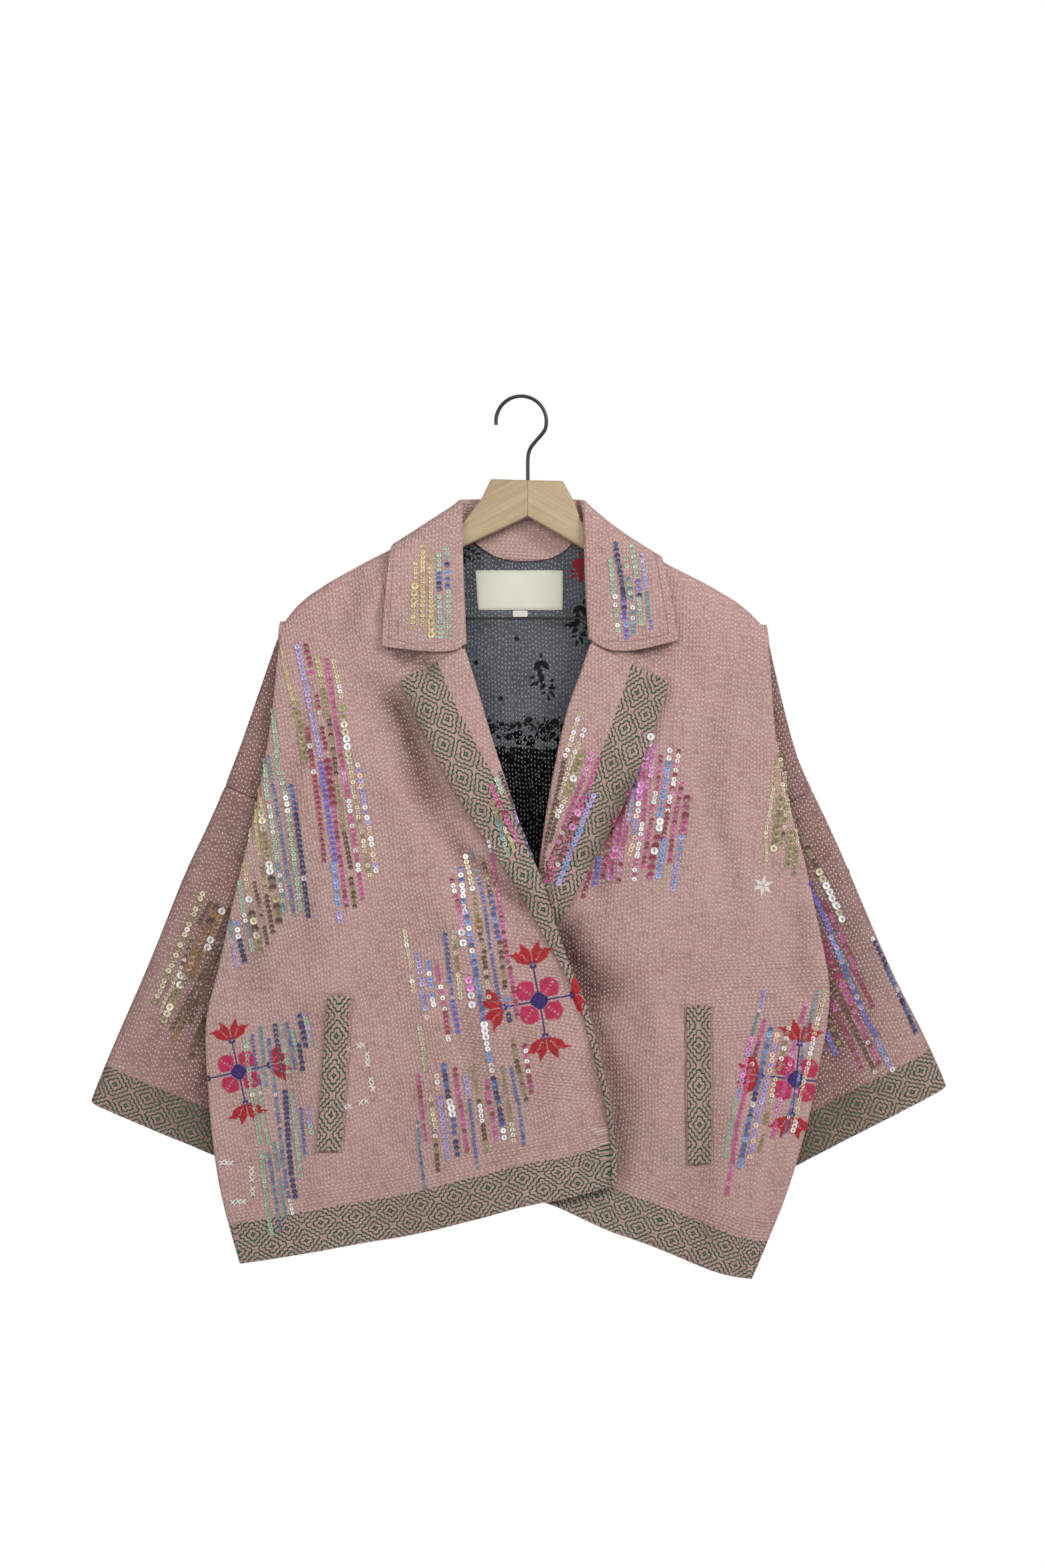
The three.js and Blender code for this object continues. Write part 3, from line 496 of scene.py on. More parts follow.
# Each crease: from x, z to x, z, half width, and how far it stands out, all in mm
CREASES_RIGHT = [
    (-138, -266, -66, -398, 15, -9.0), (-72, -392, 6, -492, 10, -6.5), (-166, -280, -98, -420, 14, 3.6),
    (-92, -430, -24, -540, 14, 2.8), (-131, -163, -146, -226, 8, 3.4), (-152, -165, -168, -232, 9, -3.0),
    (-212, -256, -193, -535, 10, -2.6), (-150, -450, -170, -600, 18, 2.2), (-95, -520, -70, -700, 18, 2.4),
    (-40, -560, -20, -740, 14, -2.4), (26, -590, 44, -735, 12, 3.0), (-240, -600, -232, -780, 14, 2.0),
    (-205, -560, -200, -770, 11, -2.0), (-120, -240, -74, -254, 9, -7.0), (-248, -470, -252, -560, 12, -3.0),
    (66, -590, 80, -700, 8, -3.0)]
CREASES_LEFT = [
    (116, -340, 54, -466, 11, -6.5), (34, -484, 72, -575, 23, -11.5), (62, -560, 100, -735, 15, -6.0),
    (112, -500, 132, -700, 15, 3.0), (150, -330, 160, -560, 16, 2.2), (185, -260, 196, -520, 13, -2.2),
    (225, -420, 236, -760, 14, 2.0), (170, -600, 178, -800, 12, -2.6), (200, -620, 206, -790, 12, 2.0),
    (60, -600, 64, -742, 9, 1.8), (166, -190, 172, -300, 15, 1.8), (96, -236, 140, -236, 9, -5.0),
    (252, -470, 262, -560, 12, -3.0)]
CREASES_BACK = [
    (-120, -260, -150, -560, 16, 2.8), (-40, -300, -60, -740, 18, -2.8), (50, -260, 40, -600, 18, 2.8),
    (120, -280, 160, -700, 16, -2.8), (180, -300, 200, -780, 14, 2.2), (-190, -380, -210, -790, 15, 2.4),
    (0, -480, 10, -735, 13, 2.2), (-100, -560, -110, -770, 12, -2.2), (-236, -420, -240, -790, 12, -1.6),
    (84, -560, 92, -760, 12, 2.0)]

front_right = cloth_piece(
    "front_right", rows_over(HEM_RIGHT, 62, 0.15, lambda x, z: (x > -58) & (z < -478) & (z > -655)),
    band_on(HEM_RIGHT, 32.0), CREASES_RIGHT, -1, SLATE, 0.0)
front_left = cloth_piece(
    "front_left", rows_over(HEM_LEFT, 58, -0.05, lambda x, z: (x > 172) & (z < -520) & (z > -600)),
    band_on(HEM_LEFT, 32.0), CREASES_LEFT, -1, SLATE, 0.8)
back = cloth_piece(
    "back", rows_over(HEM_BACK, 70, 0.0), band_on(HEM_BACK, 32.0), CREASES_BACK, 1, SLATE, 1.6)

LAPEL_RIGHT = [(-112.2, -263.5), (-92.4, -308.8), (-71.9, -347.2), (-53.5, -380.5), (-34.7, -408.6),
               (-5.6, -454.5), (21.7, -501), (39.5, -533.5), (55, -567.5), (68.5, -619.3), (77.5, -659),
               (82.7, -729.4)]
LAPEL_LEFT = [(137, -266), (129, -290.2), (115, -330), (96.5, -376), (77.5, -411), (55, -453), (38, -485),
              (24, -510), (15.5, -533), (1.5, -574), (-23.5, -634), (-49.6, -697), (-66.4, -743)]
facing_right = cloth_piece("facing_right", upright, band_on(LAPEL_RIGHT, 35.6), CREASES_RIGHT, seed=0.0)
facing_left = cloth_piece("facing_left", upright, band_on(LAPEL_LEFT, 35.6), CREASES_LEFT, seed=0.8)


def collar_rows(points, middles):
    """Rows run up and down the leaves, and round the neck on the stand and behind it."""
    behind = middles[:, 1] > -2.0
    return np.where(behind, points[:, 0], points[:, 2]), np.where(behind, points[:, 2], points[:, 0])


collar = cloth_piece("collar", collar_rows, None, (), -1, None, 0.4)


def sleeve_maps(tip, cuff_out, cuff_in):
    """Rows run down the sleeve and the band lies along its cuff."""
    tip, cuff_out, cuff_in = (np.array(p, dtype=float) for p in (tip, cuff_out, cuff_in))
    across = (cuff_in - cuff_out) / np.hypot(*(cuff_in - cuff_out))
    down = np.array([across[1], -across[0]])
    if down[1] > 0:
        down = -down

    def rows(points, middles):
        spot = points[:, [0, 2]] - tip
        behind = np.where(middles[:, 1] > 0, 500.0, 0.0)
        return spot @ down, spot @ across + behind

    def band(points, middles):
        spot = points[:, [0, 2]] - cuff_out
        return spot @ across, -(spot @ down)

    return rows, band


SIDE_EDGES = {
    "right": [(-223, -214), (-239, -350), (-262, -450), (-279, -532), (-293, -577), (-288, -670),
              (-279, -735)],
    "left": [(227, -217), (240, -350), (267, -450), (284, -530), (288, -563), (271, -651), (247, -735)]}


def shaded_beside(side):
    """Painted shade on the sleeves: a little darker all over, and most of all beside the body, where they
    lie back under it.
    """

    def body_shade(points):
        _, off = distance_along(points, SIDE_EDGES[side])
        return 0.03 + 0.64 * np.exp(-((off / 58) ** 1.8))

    return body_shade


# Each sleeve: its tip at the shoulder, its cuff's outer and inner ends, and its creases, seam ridges first
SLEEVES = {
    "right": ((-223, -215), (-400.8, -654.1), (-217.7, -734.5),
              [(-285, -362, -238, -382, 2.4, 1.3), (-287, -369, -240, -389, 2.4, 1.3),
               (-300, -430, -350, -640, 16, 2.0), (-285, -440, -305, -690, 14, -1.6),
               (-262, -520, -262, -700, 12, 1.6), (-330, -480, -378, -640, 13, -1.4)]),
    "left": ((227, -219), (395.9, -639.8), (219.8, -733.5),
             [(280, -366, 246, -388, 2.4, 1.3), (282, -373, 248, -395, 2.4, 1.3),
              (300, -430, 345, -630, 16, 2.0), (285, -450, 300, -680, 14, -1.6),
              (262, -520, 262, -690, 12, 1.6), (330, -480, 372, -620, 13, -1.4)])}
sleeves = {}
for side, (tip, cuff_out, cuff_in, creases) in SLEEVES.items():
    rows, band = sleeve_maps(tip, cuff_out, cuff_in)
    # Painted shade on this sleeve, darkest beside the body.
    wear_and_shade = shaded_beside(side)
    for name, chart, folds in (("shoulder_" + side, None, creases[:2]), ("sleeve_" + side, band, creases)):
        sleeves[name] = cloth_piece(name, rows, chart, folds, -1, SLATE, 2.0, wear_and_shade)


def along_welt(x, z, slant, diamond):
    """The lattice along a welt whose middle line passes x, z, one of its diamonds at the height diamond."""

    def chart(points, middles):
        off = np.abs(points[:, 0] - x + (points[:, 2] - z) * slant)
        return (points[:, 2] - diamond) * 0.89, FIRST_ROW + off

    return chart


welt_right = cloth_piece("welt_right", upright, along_welt(-172.5, -626, -0.0715, -591), CREASES_RIGHT)
welt_left = cloth_piece("welt_left", upright, along_welt(164.1, -637, 0.0096, -600), CREASES_LEFT)


# The label is a woven tape sewn flat under the collar, with a small size tab caught under its lower edge.
LABEL = new_material("label_cloth", Roughness=0.85, Specular_IOR_Level=0.2)
place = Value.node("TexCoord", {}, output=3)
x, _, z = place.split()
weave = (x * 9000).math("SINE") * (z * 9000).math("SINE")
soiled = noise(place, 40.0, 3.0)
(soiled.above(0.5, 0.5) * 0.6).tint((0.69, 0.67, 0.59), (0.61, 0.59, 0.51)).feed("Base Color")
bump(weave * 0.3 + noise(place, 160.0, 2.0), 0.0004, 0.7)
tapes = {}
for node in ("label", "size_tab"):
    tape = cloth_piece(node, upright, None, (), -1, None, 0.9)
    tape.data.materials.clear()
    tape.data.materials.append(LABEL)
    tapes[node] = tape


# The hanger is flat pale wood, joined in the middle, with a black wire hook and a black wire bar.
WOOD = new_material("pale_wood", Roughness=0.5, Specular_IOR_Level=0.4)
place = Value.node("TexCoord", {}, output=3)
x, y, z = place.split()
side = (x * 1000).above(6.0, 0.1)
slope = abs(x * 1000 - 6.0) * 0.55 + z * 1000
board = Value.node("CombineXYZ", {}, _0=x * 12 + side * 3, _1=y * 60, _2=slope / 1000 * 260)
grain = noise(board, 1.0, 4.0, 0.6)
fibre = noise(Value.node("CombineXYZ", {}, _0=x * 60, _1=y * 800, _2=slope), 1.0, 2.0)
joint = 1 - abs(x * 1000 - 6.0).above(0.25, 0.25)
wood = grain.above(0.5, 0.4).tint((0.440, 0.335, 0.205), (0.340, 0.243, 0.138))
wood = (fibre * 0.25).tint(wood, (0.33, 0.23, 0.13))
(joint * 0.75).tint(wood, (0.12, 0.08, 0.045)).feed("Base Color")
bump(grain * 0.5 + fibre * 0.2 - joint, 0.0003, 0.6)
BLACK = new_material("black_metal", Roughness=0.42, Metallic=0.3, Coat_Weight=0.25, Coat_Roughness=0.25)
wear_and_shade = noise(Value.node("TexCoord", {}, output=3), 420.0, 3.0)
(wear_and_shade.above(0.62, 0.1) * 0.5).tint((0.010, 0.010, 0.011), (0.035, 0.034, 0.034)).feed("Base Color")
bump(wear_and_shade, 0.00012, 0.5)
HANGER = (("hanger_wood", WOOD, 0.0006), ("hanger_hook", BLACK, 0), ("trouser_bar", BLACK, 0))
for node, material, bevel in HANGER:
    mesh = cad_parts[node].data.copy()
    form = bmesh.new()
    form.from_mesh(mesh)
    bmesh.ops.remove_doubles(form, verts=form.verts, dist=2e-6)
    bmesh.ops.dissolve_limit(form, angle_limit=math.radians(0.3), verts=form.verts, edges=form.edges)
    form.to_mesh(mesh)
    form.free()
    piece = bpy.data.objects.new(node + "_dressed", mesh)
    scene.collection.objects.link(piece)
    mesh.materials.clear()
    mesh.materials.append(material)
    bpy.ops.object.select_all(action="DESELECT")
    bpy.context.view_layer.objects.active = piece
    piece.select_set(True)
    if bevel:
        rim = piece.modifiers.new("rim", "BEVEL")
        rim.width = bevel
        rim.segments = 2
        rim.angle_limit = math.radians(40)
        bpy.ops.object.modifier_apply(modifier="rim")
    bpy.ops.object.shade_smooth_by_angle(angle=math.radians(38 if bevel else 60))
    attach(piece, "root")
    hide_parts(node)


# What is sewn on lies on the cloth that is outermost there, seen from the front.
def tree_of(pieces):
    corners, faces = [], []
    for piece in pieces:
        start = len(corners)
        corners += [vertex.co.copy() for vertex in piece.data.vertices]
        faces += [[start + i for i in polygon.vertices] for polygon in piece.data.polygons]
    return BVHTree.FromPolygons(corners, faces)


cloths = [front_right, front_left, back, facing_right, facing_left, collar, welt_right, welt_left]
cloths += sleeves.values()
outside = tree_of(cloths)
inside_back = tree_of([back])


def on_cloth(tree, x, z):
    """The outermost place of the cloth at x, z in mm, and which way it faces, or None beside the cloth."""
    place, normal, _, _ = tree.ray_cast(Vector((x / 1000, -0.2, z / 1000)), Vector((0, 1, 0)))
    if place is None or normal.y > -0.25:
        return None
    return np.array(place) * 1000, np.array(normal)


def frame_at(normal, turn):
    """Side, up and out at a place, turned by an angle about out."""
    out = normal / np.linalg.norm(normal)
    side = np.cross((0, 0, 1.0), out)
    side = side / np.linalg.norm(side)
    up = np.cross(out, side)
    return side * math.cos(turn) + up * math.sin(turn), up * math.cos(turn) - side * math.sin(turn), out


class Sewing:
    """Many small copies that become one object, each with its own colour."""

    def __init__(self):
        self.corners, self.faces, self.shades = [], [], []

    def add(self, corners, faces, shades):
        start = len(self.corners)
        self.corners += list(corners)
        self.faces += [tuple(start + k for k in face) for face in faces]
        self.shades += list(np.broadcast_to(shades, (len(corners), 3)))

    def strand(self, stations, across, colour):
        """A flat thread through three stations, reaching so far to either side of them."""
        corners = [spot + reach for spot in stations for reach in (-across, across)]
        self.add(corners, [(0, 1, 3, 2), (2, 3, 5, 4)], colour)

    def finish(self, name, material):
        mesh = bpy.data.meshes.new(name)
        mesh.from_pydata((np.array(self.corners) / 1000).tolist(), [], self.faces)
        shade = mesh.color_attributes.new("shade", "FLOAT_COLOR", "POINT")
        shade.data.foreach_set("color", np.column_stack((self.shades, np.ones(len(self.shades)))).ravel())
        mesh.materials.append(material)
        mesh.polygons.foreach_set("use_smooth", [True] * len(mesh.polygons))
        piece = bpy.data.objects.new(name, mesh)
        scene.collection.objects.link(piece)
        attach(piece, "root")


# Sequins are sewn on in strings, one thread through the middle of each cup. The strings stand in groups.
SEQUIN_COLOURS = {
    "g": (0.610, 0.503, 0.223), "y": (0.687, 0.631, 0.402), "o": (0.305, 0.270, 0.114),
    "b": (0.100, 0.056, 0.026), "c": (0.283, 0.150, 0.048), "t": (0.342, 0.552, 0.402),
    "q": (0.127, 0.305, 0.352), "n": (0.023, 0.037, 0.141), "u": (0.076, 0.138, 0.392),
    "a": (0.205, 0.352, 0.716), "l": (0.413, 0.352, 0.680), "v": (0.162, 0.138, 0.552),
    "p": (0.578, 0.093, 0.305), "r": (0.314, 0.030, 0.084), "h": (0.776, 0.263, 0.610),
    "w": (0.95, 0.95, 0.95), "e": (0.838, 0.565, 0.434)}
SEQUIN_SIZES = {"s": 3.4, "m": 4.3, "k": 5.0, "l": 6.8}  # mm across
SEQUIN = new_material("sequin", Metallic=0.1, Roughness=0.36, Coat_Weight=0.35, Coat_Roughness=0.15)
shade = Value.node("Attribute", {"attribute_name": "shade"})
cloudy = noise(Value.node("TexCoord", {}, output=3), 900.0, 2.0)
(cloudy * 0.12).tint(shade, (0.25, 0.20, 0.20)).feed("Base Color")
bump(cloudy, 0.00012, 0.5)

HOOK = (782, 597)  # column and row of the hook's inner top in the photograph, which is the origin
PIXEL = 0.62  # mm
# Each string, as read: column and row of its first and of its last sequin, the colours that its
# sequins are drawn from, and their size
STRINGS = {
    "chest_right": """
        426 974 430 992 g s, 430 1000 434 1022 g s, 436 1030 444 1056 g s, 445 1058 450 1084 o l,
        452 1090 460 1140 o l, 448 972 454 1001 l k, 456 1010 467 1060 l k, 470 1072 483 1133 l k,
        483 1146 488 1176 v k, 488 1178 505 1290 v k, 503 1296 510 1355 a k, 511 1368 514 1380 l k,
        461 971 468 998 r k, 469 1010 470 1011 p k, 477 1046 482 1070 r m, 485 1093 491 1124 r m,
        464 1096 481 1213 r k, 482 1222 489 1290 r m, 493 1143 502 1205 r l, 503 1212 522 1358 pr m,
        477 986 486 1030 g m, 487 1036 494 1076 o m, 496 1082 506 1160 bo m, 508 1174 518 1246 o m,
        519 1250 528 1300 b m, 529 1318 535 1358 ob m, 492 992 509 1100 p m, 510 1104 516 1150 rp m,
        517 1154 521 1175 h m, 522 1180 546 1348 ppw m, 503 994 514 1046 yw m, 515 1064 518 1078 o l,
        519 1088 527 1142 yyw l, 528 1152 534 1195 y m, 536 1204 556 1312 oy m, 539 1148 566 1305 lwe k""",
    "edge_right": """
        412 1068 420 1150 t m, 421 1160 430 1190 t m, 431 1197 434 1216 w k, 435 1222 453 1362 t m,
        439 1180 446 1214 u k, 447 1222 465 1372 n k, 405 1136 411 1170 q s, 412 1178 443 1370 uuq s,
        400 1142 402 1170 t m, 401 1178 404 1198 t m, 407 1210 418 1285 ttw m, 419 1290 429 1365 qt m,
        391 1182 396 1214 g s, 395 1220 398 1242 y l, 399 1252 405 1284 o l, 407 1296 408 1306 w l,
        410 1318 412 1330 b l, 416 1348 421 1380 ob l, 387 1205 387 1232 g s, 387 1240 392 1286 g s,
        394 1296 402 1336 go m, 403 1344 412 1396 b m, 379 1246 379 1260 y m, 370 1296 376 1340 g m,
        377 1348 378 1349 w l, 381 1370 388 1402 by l, 390 1412 392 1424 wo l, 385 1324 396 1378 ob s,
        399 1390 404 1414 b s, 363 1324 367 1366 t m, 369 1372 371 1380 we m, 373 1388 376 1402 q s,
        378 1410 381 1424 t m, 348 1380 350 1404 q s, 351 1412 357 1446 l s, 357 1384 360 1404 aw k,
        362 1410 369 1440 n k""",
    "sleeve_right": """
        306 1340 237 1500 oy k, 318 1354 300 1384 b s, 291 1405 275 1450 ob s, 272 1456 256 1490 y s,
        252 1496 245 1515 y s, 326 1360 308 1400 bc l, 301 1412 281 1460 c l, 278 1464 268 1484 o l,
        266 1490 250 1528 yo l, 335 1366 313 1420 c l, 309 1424 290 1465 c k, 274 1462 272 1476 w l,
        346 1364 322 1426 b m, 318 1434 302 1470 b m, 296 1480 262 1540 b m, 276 1528 264 1555 c m,
        332 1420 300 1505 b m, 292 1500 274 1540 b m, 340 1400 310 1470 b m, 306 1480 288 1530 b m,
        308 1532 302 1550 b l, 298 1556 290 1582 b l""",
    "low_right": """
        371 1560 380 1630 t m, 381 1632 393 1710 t m, 395 1724 402 1790 t m, 403 1796 410 1846 t m,
        381 1552 388 1602 u s, 390 1612 393 1622 u s, 394 1540 398 1590 q s, 398 1600 402 1625 q s,
        393 1630 400 1684 t s, 402 1692 406 1712 t s, 406 1558 411 1600 uq s, 412 1604 421 1680 qu s,
        422 1690 428 1745 qu s, 430 1752 432 1776 u s, 435 1784 442 1815 uw s, 415 1537 426 1610 n m,
        430 1636 436 1715 n k, 437 1724 440 1756 n k, 441 1766 446 1790 n k, 424 1535 435 1605 t s,
        440 1640 452 1745 t s, 452 1750 454 1760 t m, 433 1534 445 1600 qu s, 441 1545 446 1570 t s,
        452 1522 454 1532 n k, 455 1538 461 1565 n k, 451 1566 457 1600 n k, 459 1520 468 1552 tl m,
        470 1560 471 1561 t k, 454 1660 460 1728 u s, 465 1658 468 1680 l m, 469 1686 470 1694 t k,
        405 1728 412 1760 uq s, 412 1764 424 1840 uuq s, 414 1712 420 1750 q s, 423 1764 432 1820 q s""",
    "centre": """
        609 1396 612 1416 wy m, 613 1420 618 1452 y s, 619 1463 622 1484 yw m, 627 1430 632 1456 l k,
        634 1466 635 1474 l k, 635 1486 640 1510 l k, 642 1523 643 1524 e k, 644 1442 648 1476 wa k,
        649 1490 652 1504 aw k, 657 1448 661 1468 p m, 662 1478 669 1510 pw m, 669 1516 673 1545 rp m,
        673 1552 674 1556 w m, 669 1400 677 1472 u m, 679 1482 680 1500 u s, 680 1500 688 1544 v k,
        682 1404 688 1450 yo m, 689 1460 692 1494 y m, 679 1320 691 1366 rpw m, 692 1376 694 1392 h m,
        694 1396 696 1412 hw l, 691 1304 698 1366 uuw k, 700 1366 712 1440 uaw k, 713 1444 726 1526 au k,
        727 1534 730 1552 w l, 731 1562 739 1602 aw k, 699 1285 709 1332 wy k, 709 1278 716 1310 q s,
        718 1318 727 1352 u s, 728 1360 736 1420 u s, 738 1430 750 1500 u s, 712 1340 717 1372 o m,
        719 1382 720 1392 c l, 721 1400 727 1425 ob m, 727 1434 735 1500 by m, 725 1288 735 1338 ob m,
        736 1344 741 1362 u k, 741 1370 748 1405 au k, 750 1412 758 1478 bo m, 734 1262 737 1276 w s,
        737 1282 743 1312 p m, 744 1318 762 1440 rp m, 765 1450 776 1520 rp m, 761 1496 762 1506 na k,
        763 1520 765 1527 n k, 704 1468 706 1480 h l, 707 1490 709 1504 w l, 631 1540 637 1570 y m,
        637 1578 640 1600 y m, 629 1612 636 1672 pr m, 637 1684 640 1706 p m, 648 1645 655 1690 yo m,
        654 1692 658 1750 bo m, 628 1680 630 1712 q s, 630 1718 638 1776 qu s, 657 1610 659 1628 ew k,
        661 1642 673 1732 l k, 667 1594 674 1640 nu k, 676 1648 680 1666 w l, 681 1674 683 1694 u k,
        685 1708 687 1726 n k, 684 1600 689 1640 rp m, 690 1640 702 1720 pr m, 699 1612 703 1634 l k,
        711 1596 717 1634 o s, 719 1648 724 1676 bw m, 725 1684 728 1704 b m, 730 1712 731 1720 o m,
        705 1646 715 1730 u s, 716 1738 718 1746 q s, 731 1620 735 1650 rp m, 738 1660 745 1702 rph m,
        741 1614 748 1650 nuw k, 750 1660 753 1676 n k, 754 1682 757 1702 wu k, 754 1598 760 1634 o s,
        763 1648 767 1674 o s, 768 1682 771 1706 yw m, 767 1600 778 1652 u s, 779 1660 786 1712 uq s,
        770 1558 778 1604 bo m, 779 1602 789 1645 bo m, 787 1566 797 1634 prw m""",
    "lapel_right": """
        737 1180 748 1204 p m, 750 1207 758 1220 r l, 760 1228 766 1240 p k, 768 1244 776 1266 pr m,
        745 1170 753 1188 t m, 750 1160 769 1206 nb s, 770 1216 798 1286 nl s, 738 1204 745 1224 o m,
        746 1230 754 1256 q m, 755 1258 763 1282 t m, 749 1228 765 1258 oy s, 768 1260 771 1275 g s""",
    "lapel_left": """
        868 1074 858 1106 yw m, 857 1110 848 1134 wy m, 847 1138 838 1180 b m, 837 1186 822 1250 b m,
        820 1256 812 1310 b s, 876 1096 873 1104 w m, 868 1116 856 1142 y m, 855 1146 845 1176 y m,
        843 1182 831 1224 yb s, 852 1188 836 1224 wy m, 834 1230 826 1262 b s, 871 1136 862 1158 o l,
        860 1168 859 1169 w l, 856 1180 852 1190 o l, 887 1132 874 1168 hp m, 873 1170 863 1196 p m,
        861 1200 846 1240 p m, 846 1242 832 1276 rh m, 829 1284 818 1320 rp m, 897 1140 884 1176 p m,
        883 1180 876 1196 p m, 875 1198 858 1240 hpr l, 857 1246 842 1284 r m, 840 1290 824 1322 rp m,
        890 1194 872 1236 l k, 870 1244 838 1324 al k""",
    "chest_left": """
        974 1106 972 1116 w l, 970 1124 964 1160 hp l, 963 1168 958 1196 ph l, 982 1120 975 1150 h m,
        976 1156 971 1180 hw m, 968 1186 964 1230 p m, 962 1236 955 1280 hw m, 954 1284 950 1318 pw m,
        990 1136 984 1190 rp m, 982 1190 976 1216 pw m, 976 1230 963 1300 pr m, 957 1206 956 1216 w k,
        953 1224 951 1256 el k, 948 1268 944 1280 el k, 956 1160 950 1180 u m, 951 1186 942 1236 l m,
        941 1190 931 1228 r k, 930 1230 915 1316 php l, 941 1234 934 1270 p m, 932 1280 927 1320 rh m,
        921 1230 912 1270 r m, 910 1284 904 1314 rp m, 1004 1126 1003 1138 w k, 1002 1146 988 1222 la k,
        988 1232 987 1242 wh l, 985 1256 982 1268 r l, 980 1276 979 1278 w l, 978 1286 974 1312 r l,
        1017 1128 1006 1190 whr m, 1004 1196 1000 1216 wr m, 1000 1220 993 1258 r m, 995 1260 986 1314 a k,
        1022 1176 1014 1214 rp m, 1013 1212 1003 1290 rp m, 1029 1198 1023 1246 pr l,
        1021 1256 1008 1332 al k, 898 1288 892 1326 v k, 885 1310 875 1344 r m""",
    "edge_left": """
        1166 1116 1160 1180 g s, 1158 1184 1148 1240 y s, 1147 1244 1146 1290 y s, 1170 1140 1172 1192 y m,
        1169 1200 1161 1262 o l, 1158 1272 1159 1273 y l, 1176 1160 1182 1230 y s,
        1177 1200 1174 1240 oy s, 1172 1250 1170 1266 ob s, 1184 1250 1180 1296 o l,
        1190 1230 1194 1268 y s, 1192 1272 1189 1310 o m""",
    "sleeve_left": """
        1204 1258 1223 1298 ob m, 1228 1308 1233 1318 y l, 1238 1328 1252 1356 w l,
        1254 1358 1262 1378 wy l, 1212 1325 1246 1400 v k, 1247 1406 1262 1442 la k,
        1264 1448 1290 1510 ul k, 1292 1518 1310 1550 v k, 1314 1558 1316 1564 el k,
        1319 1572 1335 1602 al k, 1237 1356 1256 1392 rp m, 1260 1404 1280 1450 rp m,
        1282 1456 1306 1508 rp m, 1236 1414 1240 1430 r l, 1245 1440 1256 1462 r l,
        1258 1466 1272 1500 rp l, 1274 1504 1300 1562 pr m, 1303 1566 1316 1592 rp m,
        1250 1480 1270 1520 b m, 1272 1526 1310 1606 b m, 1246 1500 1290 1600 rp m,
        1240 1524 1260 1570 bo m, 1238 1544 1252 1580 v k, 1272 1306 1290 1340 t m,
        1292 1346 1312 1396 t m, 1318 1400 1340 1446 t m, 1342 1454 1378 1536 t m, 1306 1408 1307 1409 w k,
        1310 1414 1326 1446 n k, 1328 1452 1350 1500 un k, 1352 1504 1370 1546 nu k""",
    "low_left": """
        1144 1486 1138 1506 ul m, 1136 1514 1126 1548 q s, 1124 1556 1104 1640 lh k,
        1102 1644 1092 1700 t s, 1090 1704 1086 1730 t s, 1144 1530 1136 1560 p m,
        1134 1566 1124 1600 pr m, 1122 1604 1104 1680 p m, 1103 1684 1096 1740 p m,
        1095 1744 1088 1784 ph m, 1153 1542 1140 1600 ua k, 1139 1604 1122 1670 un k,
        1121 1674 1107 1744 au k, 1163 1550 1150 1610 le k, 1149 1612 1132 1680 l k,
        1131 1684 1122 1730 le k, 1180 1540 1166 1600 ow m, 1160 1616 1154 1648 yo m,
        1148 1668 1146 1680 o m, 1142 1700 1136 1720 o m, 1206 1504 1198 1530 ph m,
        1190 1560 1180 1600 hp m, 1178 1606 1172 1640 p m, 1168 1646 1162 1670 hp m,
        1162 1680 1156 1700 p m, 1224 1486 1212 1530 q s, 1208 1536 1190 1640 qlu s,
        1188 1640 1173 1700 ul s, 1236 1484 1226 1520 y m, 1224 1526 1208 1600 wy m,
        1206 1606 1198 1640 yw m, 1196 1646 1190 1680 y m, 1190 1680 1187 1692 w k""",
    "collar": """
        625 850 625 876 g s, 624 882 622 904 g l, 622 912 621 944 g m, 636 824 635 940 g m,
        648 840 648 926 g m, 648 934 648 954 g l, 660 836 660 858 t m, 660 864 660 886 un k,
        660 898 662 958 t m, 672 826 672 840 t m, 672 850 673 851 n k, 673 862 673 882 ua k,
        674 890 674 956 t m, 915 844 919 892 t m, 922 898 923 899 w k, 922 910 926 948 ttw m,
        922 820 933 886 n k, 934 892 936 930 nv k, 938 940 939 958 va k, 938 842 939 852 t m,
        941 872 946 900 qt m, 948 914 949 915 w m, 948 922 949 952 q m, 947 824 954 868 t m,
        956 876 958 896 nv k, 957 902 960 938 t m, 961 836 968 882 la s, 968 892 972 930 q s,
        974 936 975 944 v s""",
}
SIDES = 10
turns = [math.tau * i / SIDES for i in range(SIDES)]
CUP = [(0.14, 0.10), (0.62, 0.13), (1.0, 0.26)]  # radius and height of each ring, in half diameters
HALF = 0.51  # half a sequin's diameter, as a share of its stated size
LIFT = 0.25  # mm from the cloth to the middle of a sequin's back
HOLE_SHADE = 0.40  # painted shade round the hole: how dark the cup's colour is made there


def sequin_form(reach):
    """A shallow cup with a hole, and the thread over its lower side, reaching so far to either side."""
    rings = [(radius * math.cos(t), radius * math.sin(t), rise) for radius, rise in CUP for t in turns]
    thread = [(-reach, -0.02, 0.22), (reach, -0.02, 0.22), (reach, -1.05, 0.34), (-reach, -1.05, 0.34)]
    return np.array(rings + thread)


def sequin_faces():
    """Two rings of faces round the hole, and the thread's one face, all towards the viewer."""
    faces = []
    for ring in (0, SIDES):
        for i in range(SIDES):
            after = (i + 1) % SIDES
            faces.append((ring + i, ring + SIDES + i, ring + SIDES + after, ring + after))
    return faces + [(33, 32, 31, 30)]


def in_mm(entry):
    """A string's two ends in mm, the letters of its colours, and the size of its sequins."""
    x0, z0, x1, z1, code, size = entry.split()
    ends = [round((float(column) - HOOK[0]) * PIXEL, 1) for column in (x0, x1)]
    heights = [round((HOOK[1] - float(row)) * PIXEL, 1) for row in (z0, z1)]
    return ends[0], heights[0], ends[1], heights[1], code, SEQUIN_SIZES[size]


